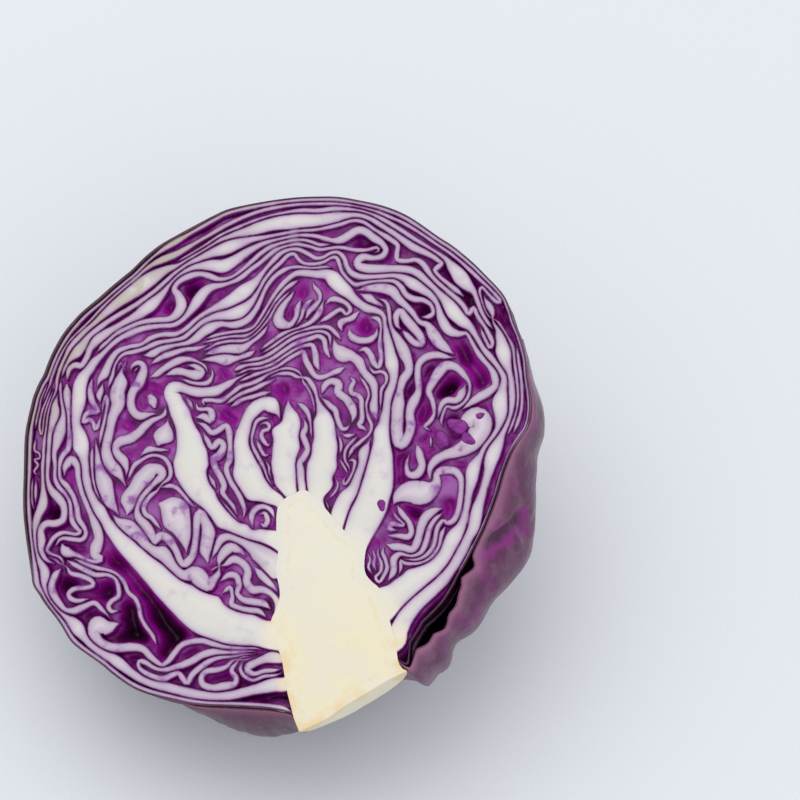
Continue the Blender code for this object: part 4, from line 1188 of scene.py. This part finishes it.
def skin_dome():
    angles = head_angles
    count = len(angles)
    loops, edge, wrapper_shade = [], [], []
    # Painted shade on the skin under the right wrapper, strongest near the cut face.
    onwards = (np.degrees(angles) - WRAPPER_SHADE_FROM) % 360
    shaded = smooth_step(0, 6, onwards) * (1 - smooth_step(60, 92, onwards))
    tone = smooth_step(95, 120, np.degrees(angles)) * (1 - smooth_step(190, 215, np.degrees(angles)))
    for degrees in DOME_TURNS:
        out = skin_reach(angles, degrees) + 0.6 * tone
        loops.append(swung(angles, np.full(count, degrees), out))
        edge.append(tone * (1 - smooth_step(0.5, 20, degrees)))
        wrapper_shade.append(shaded * (1 - smooth_step(30, 45, degrees)))
    inner = ((0.0, 0.45), (0.4, 0.6), (BED_DEPTH, 4.0), (BED_DEPTH + 2, 16.0), (BED_DEPTH + 4, 46.0))
    inside_loops = []
    rim_reach = np.hypot(*(loops[0][:, :2] - HEAD_CENTRE).T)
    for depth, inset in inner:
        reach = np.maximum(rim_reach - inset, 2.0)
        flat = HEAD_CENTRE + np.column_stack([np.cos(angles), np.sin(angles)]) * reach[:, None]
        inside_loops.append(np.column_stack([flat, np.full(count, -depth)]))
        edge.append(np.zeros(count))
    outside_pole = [(*HEAD_CENTRE, -DOME_DEPTH - DOME_OUT - DOME_EXTRA)]
    inside_pole = [(*HEAD_CENTRE, -BED_DEPTH - 4)]
    points = np.vstack([*loops[::-1], *inside_loops, outside_pole, inside_pole])
    edges = np.concatenate([*edge[: len(loops)][::-1], *edge[len(loops) :], [0, 0]])
    hidden = np.concatenate([*wrapper_shade[::-1], np.zeros(len(inner) * count + 2)])
    rows = len(loops) + len(inside_loops)
    faces = []
    for row in range(rows - 1):
        for k in range(count):
            a, b = row * count + k, row * count + (k + 1) % count
            faces.append((a, b, b + count, a + count))
    low, high = rows * count, rows * count + 1
    for k in range(count):
        faces.append((low, (k + 1) % count, k))
        last = (rows - 1) * count
        faces.append((high, last + k, last + (k + 1) % count))
    finish = skin_finish("head_skin", 62, 30, 54)
    return new_piece("skin_dome", points, faces, {"edge": edges, "wrapper_shade": hidden}, finish)


dome = skin_dome()
made_outward(dome)
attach(dome, "root")
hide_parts("leaf_01")

# Veins of the skin. They are low ridges on the outside of the outermost leaf, a little paler than the
# skin. They run from the stem under the head and fork on the way, and they are laid on as thin tubes, half
# sunk in, which taper towards the head's top.
STEM = math.radians(288.0)
VEIN_FANS = (16, 37, 58, 84, 109, 130, 151, 168)
VEIN_FORKS = ((0.0, 0.0), (0.2, 16.0), (0.3, -17.0), (0.5, 9.0), (0.58, -10.0))
VEIN_CLEAR = 0.0012
VEIN_RADIUS = 0.7
VEIN_SUNK = 0.12
VEIN_THINNER = 0.92


def vein_tree():
    """Tubes along the veins, thinner towards their ends."""
    sockets = {"Geometry": "Geometry", "Radius": "Float", "Sides": "Int", "Finish": "Material"}
    tree, add = new_tree("vein_tubes", sockets)
    given = add("NodeGroupInput").outputs
    along = add("GeometryNodeSplineParameter").outputs["Factor"]
    thinner = add("ShaderNodeMath")
    thinner.operation = "MULTIPLY_ADD"
    tree.links.new(along, thinner.inputs[0])
    thinner.inputs[1].default_value = -VEIN_THINNER
    thinner.inputs[2].default_value = 1.0
    curve = add("GeometryNodeMeshToCurve", Mesh=given["Geometry"]).outputs["Curve"]
    sized = add("GeometryNodeSetCurveRadius", Curve=curve, Radius=thinner.outputs[0]).outputs["Curve"]
    ring = add("GeometryNodeCurvePrimitiveCircle", Radius=given["Radius"], Resolution=given["Sides"])
    tube = add("GeometryNodeCurveToMesh", Curve=sized, Profile_Curve=ring.outputs["Curve"])
    tube.inputs["Fill Caps"].default_value = True
    if "Scale" in tube.inputs:
        tree.links.new(thinner.outputs[0], tube.inputs["Scale"])
    real = add("GeometryNodeRealizeInstances", Geometry=tube.outputs["Mesh"])
    painted = add("GeometryNodeSetMaterial", Geometry=real.outputs["Geometry"], Material=given["Finish"])
    add("NodeGroupOutput", Geometry=painted.outputs["Geometry"])
    return tree


def vein_paths():
    """Routes of the veins over the rounded side, from the stem towards the head's top, with forks."""
    stem = np.array((math.cos(STEM), math.sin(STEM), 0))
    across = np.array((-math.sin(STEM), math.cos(STEM), 0))
    down = np.array((0, 0, -1))
    points, edges = [], []
    for number, fan in enumerate(VEIN_FANS):
        for begin, lean in VEIN_FORKS:
            end = 0.78 + 0.16 * math.sin(2.4 * number + 0.3 * lean)
            share = np.linspace(begin, end, 34)
            along = np.radians(12 + 152 * share)[:, None]
            waves = 3.5 * np.sin(8 * share + number) + 1.6 * np.sin(21 * share + 2 * number + lean)
            around = fan + lean * (share - begin) ** 0.8 + waves * share
            around = np.radians(around)[:, None]
            sideways = np.cos(around) * across + np.sin(around) * down
            towards = np.cos(along) * stem + np.sin(along) * sideways
            angles, turn = np.arctan2(towards[:, 1], towards[:, 0]), np.degrees(np.arcsin(-towards[:, 2]))
            route = swung(angles, turn, skin_reach(angles, turn) - VEIN_SUNK)
            clear = placed(route)[:, 2] > VEIN_CLEAR
            clear &= turn > 3
            first = len(points)
            points.extend(route)
            both = clear[:-1] & clear[1:]
            edges += [(first + k, first + k + 1) for k in range(len(both)) if both[k]]
    return np.array(points), edges


def veins():
    points, edges = vein_paths()
    finish = skin_finish("vein_skin", 82, 50, 74, 0.4)
    values = {"Radius": VEIN_RADIUS * MM, "Sides": 8, "Finish": finish}
    return made_by(vein_tree(), "skin_veins", points, edges, values)


vein_piece = veins()
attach(vein_piece, "root")

# Two loose outer leaves that stayed on the half, thin flesh between smooth skins with a pinkish cut
# margin. The right one gapes and swells away from the head and is pinched in one fold. The left one lies
# close, and shows below the cut face.
WRAPPER_THICK = 0.9
WRAPPER_ROUND = 58.0
WRAPPER_TUCK = 14.0
RIGHT_WRAP = (
    "-63,0,0.6 -61,0,1.6 -59,0,3 -57,0.3,4.4 -55,0.8,6 -53,1.5,7.6 -51,2.2,8.8 -48,2.8,8.7 -46,2.9,7"
    " -44.5,3,5.4 -42.5,3,5.8 -40,2.8,7 -35,2.4,7.8 -31,1.4,8 -29,0.3,8.4 -27,1.6,9 -24.5,1.8,9.8"
    " -22.5,0.2,10.4 -19,0,11.2 -15,0,11.3 -11,0,10.5 -7,0,9.8 -3,0,8.8 1,0,7.4 5,0,5.8 9,0,4 13,0,2.2"
    " 17,0,1.3 21,0,0.8 26,0,0.5 32,0,0.2"
)
LEFT_WRAP = (
    "276,0,0.3 273,0,2.2 269,0,4.7 265,0,6.2 261,0,6.5 257,0,5.7 253,0,3.8 249,0,1.1 245,0,0.4 242,0,0.1"
)
WRAPPERS = (
    ("wrap_right", "wrapper_right", RIGHT_WRAP, 1.0, 5, 1.0),
    ("wrap_left", "wrapper_left", LEFT_WRAP, 0.0, 8, 0.82),
)
FOLD_START = 0.5
FOLD_LEAN = 0.4


def wrapper(name, outline, creased, seed, finish):
    """A loose leaf whose margin lies at the cut edge and which swells out and round under the head.

    The outline gives, for each angle round the head, how far its margin gapes and how far it swells, in mm.
    """
    draw = np.random.default_rng(seed)
    columns, rows = 180, 44
    along = np.linspace(0, 1, columns)
    measured = np.array([[float(v) for v in word.split(",")] for word in outline.split()])
    span = measured[-1, 0] - measured[0, 0]
    stations = (measured[:, 0] - measured[0, 0]) / span
    at, gaping = (np.interp(along, stations, measured[:, k]) for k in range(2))
    waves = sum(
        draw.uniform(0.4, 1.0) * np.sin(TURN * k * along + draw.uniform(0, TURN)) for k in (2.5, 5, 9, 15)
    )
    ajar = evened(smooth_step(0.4, 2, gaping), 8)
    top = 0.2 + (1.4 + 0.5 * waves) * ajar
    low = WRAPPER_ROUND * (0.2 + 0.8 * np.sqrt(1 - along**3.0)) + 1.5 * waves
    sheets = {0.0: [], WRAPPER_THICK: []}
    edge, pinched = [], []
    for share in np.linspace(0, 1, rows):
        turns = top + (low - top) * share
        tuck = WRAPPER_TUCK * smooth_step(0, 0.4, share) * (1 - along) ** 5
        angles = np.radians(at - math.copysign(1, span) * tuck)
        swelling = np.interp(along - tuck / abs(span), stations, measured[:, 2])
        out = math.sin(math.pi / 2 * min(share / 0.3, 1)) ** 0.8 * (1 - smooth_step(0.32, 1.0, share))
        gape = evened(gaping, 4) * (1 + 0.12 * waves) * (1 - smooth_step(0.0, 0.35, share))
        swell = np.maximum(evened(swelling, 10) * out - gape * 0.3 * out, 0)
        bent = along - FOLD_START - FOLD_LEAN * share + 0.025 * np.sin(share * 40)
        narrow = 0.05 - 0.12 * min(share, 0.25)
        fold = np.exp(-((bent / narrow) ** 2)) * (1 - smooth_step(0.12, 0.27, share))
        pinch = 3.0 * fold * creased * smooth_step(0, 0.05, share)
        wide_crease = 0.3 * np.sin(along * 17 + share * 9 + 1.5 * np.sin(along * 6))
        fine_crease = 0.15 * np.sin(along * 29 - share * 23)
        crease = (wide_crease + fine_crease) * out * (0.2 + 0.8 * creased)
        ends = smooth_step(0.8, 1, along) + 1 - smooth_step(0, 0.06, along)
        reach = skin_reach(angles, turns) + 0.2 - 0.9 * ends + gape + swell - pinch + crease
        for lift, sheet in sheets.items():
            sheet.append(swung(angles, turns, reach + lift * (1 - 0.5 * ends)))
        edge.append(np.full(columns, share))
        pinched.append(fold * creased)
    points = np.vstack([*sheets[WRAPPER_THICK], *sheets[0.0]])
    half = rows * columns
    faces = []
    for row in range(rows - 1):
        for k in range(columns - 1):
            a = row * columns + k
            faces.append((a, a + 1, a + columns + 1, a + columns))
            faces.append((a + half, a + columns + half, a + columns + 1 + half, a + 1 + half))
    grid = np.arange(half).reshape(rows, columns)
    border = [int(k) for k in (*grid[0], *grid[1:, -1], *grid[-1, -2::-1], *grid[-2:0:-1, 0])]
    for a, b in zip(border, border[1:] + border[:1]):
        faces.append((b, a, a + half, b + half))
    rim = np.tile(np.exp(-np.concatenate(edge) * 45), 2)
    measures = {"rim": rim, "pinch": np.tile(np.concatenate(pinched), 2)}
    return new_piece(name, points, faces, measures, finish)


def wrapper_finish(name, tone):
    """Smooth magenta-purple skin under a grey bloom, pinkish and thin at its cut margin, with painted sheen
    streaks and painted light and shade along its fold.
    """
    finish = Finish(name, 0.36, coat=0.15, shine=0.4)
    cloud = finish.noise(9.0, 4.0)
    bloom = finish.noise(3.5, 5.0)
    speckle = finish.noise(1.0, 3.0)
    streak = finish.noise(4.0, 4.0, (1.0, 1.0, 0.4))
    deep, dusk, grey, lit, vivid, fold_shade, margin = (
        paint(red * tone, green * tone, blue * tone)
        for red, green, blue in (
            (74, 14, 62), (92, 44, 78), (112, 78, 100), (116, 60, 104),
            (128, 8, 116), (34, 0, 26), (150, 96, 128),
        )
    )
    colour = finish.mix(cloud.between(0.4, 0.62), deep, dusk)
    colour = finish.mix(bloom.between(0.48, 0.66) * 0.5, colour, grey)
    # Painted highlight: pale lit streaks of sheen along the skin.
    colour = finish.mix(streak.between(0.54, 0.74) * 0.3, colour, lit)
    colour = finish.mix((1 - cloud.between(0.34, 0.5)) * 0.4, colour, vivid)
    # Painted light along the pinched fold: a vivid band of painted sheen beside it and near-black painted
    # shade in its crease.
    pinch = finish.attribute("pinch")
    fold_sheen_and_shade = pinch + (bloom - 0.5) * 0.9
    colour = finish.mix(fold_sheen_and_shade.between(0.1, 0.5) * 0.8, colour, vivid)
    colour = finish.mix(fold_sheen_and_shade.between(0.5, 0.95) * 0.85, colour, fold_shade)
    colour = finish.mix(finish.attribute("rim") * 0.7, colour, margin)
    return finish.finished(colour, speckle * 0.3 + streak + bloom, 0.0005)


for name, node, *form, tone in WRAPPERS:
    piece = wrapper(name, *form, wrapper_finish(name + "_skin", tone))
    made_outward(piece)
    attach(piece, "root")
    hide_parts(node)

# The floor, the soft light and the camera. The half lies on a plain pale floor under a wide soft light from
# above, and the camera looks down on the cut face.
CAMERA_AZIMUTH = math.radians(30.6)
CAMERA_ELEVATION = math.radians(60.4)
CAMERA_DISTANCE = 0.9
CAMERA_LENS = 162.0
FRAME_MIDDLE = (29.6, 15.9, 0.0)


def stage_floor():
    half = 1.5
    mesh = bpy.data.meshes.new("floor")
    corners = [(-half, -half, 0), (half, -half, 0), (half, half, 0), (-half, half, 0)]
    mesh.from_pydata(corners, [], [(0, 1, 2, 3)])
    finish = Finish("floor_paper", 0.6)
    grain = finish.noise(0.6, 2.0)
    tone = finish.mix(grain.between(0.3, 0.7), paint(223, 226, 230), paint(226, 229, 233))
    mesh.materials.append(finish.finished(tone, grain, 0.00005))
    floor = bpy.data.objects.new("floor", mesh)
    bpy.context.scene.collection.objects.link(floor)


def soft_light(name, place, size, power, aim=(0, 0, 0.04)):
    light = bpy.data.lights.new(name, "AREA")
    light.shape = "DISK"
    light.size = size
    light.energy = power
    lamp = bpy.data.objects.new(name, light)
    lamp.location = place
    lamp.rotation_euler = (Vector(aim) - Vector(place)).to_track_quat("-Z", "Y").to_euler()
    bpy.context.scene.collection.objects.link(lamp)


stage_floor()
soft_light("wide_light", (-0.4, 0.25, 1.35), 1.4, 5.0)
soft_light("side_light", (0.8, -0.5, 0.9), 1.0, 1.5)
bpy.context.scene.view_settings.view_transform = "Standard"
world = bpy.data.worlds.new("pale_room")
world.use_nodes = True
world.node_tree.nodes["Background"].inputs["Color"].default_value = (*paint(240, 242, 246), 1)
world.node_tree.nodes["Background"].inputs["Strength"].default_value = 0.95
bpy.context.scene.world = world

aim = Vector(placed([FRAME_MIDDLE])[0])
towards = Vector((
    math.sin(CAMERA_AZIMUTH) * math.cos(CAMERA_ELEVATION),
    -math.cos(CAMERA_AZIMUTH) * math.cos(CAMERA_ELEVATION),
    math.sin(CAMERA_ELEVATION),
))
lens = bpy.data.cameras.new("camera")
lens.lens = CAMERA_LENS
camera = bpy.data.objects.new("camera", lens)
camera.location = aim + towards * CAMERA_DISTANCE
camera.rotation_euler = (-towards).to_track_quat("-Z", "Y").to_euler()
bpy.context.scene.collection.objects.link(camera)
bpy.context.scene.camera = camera
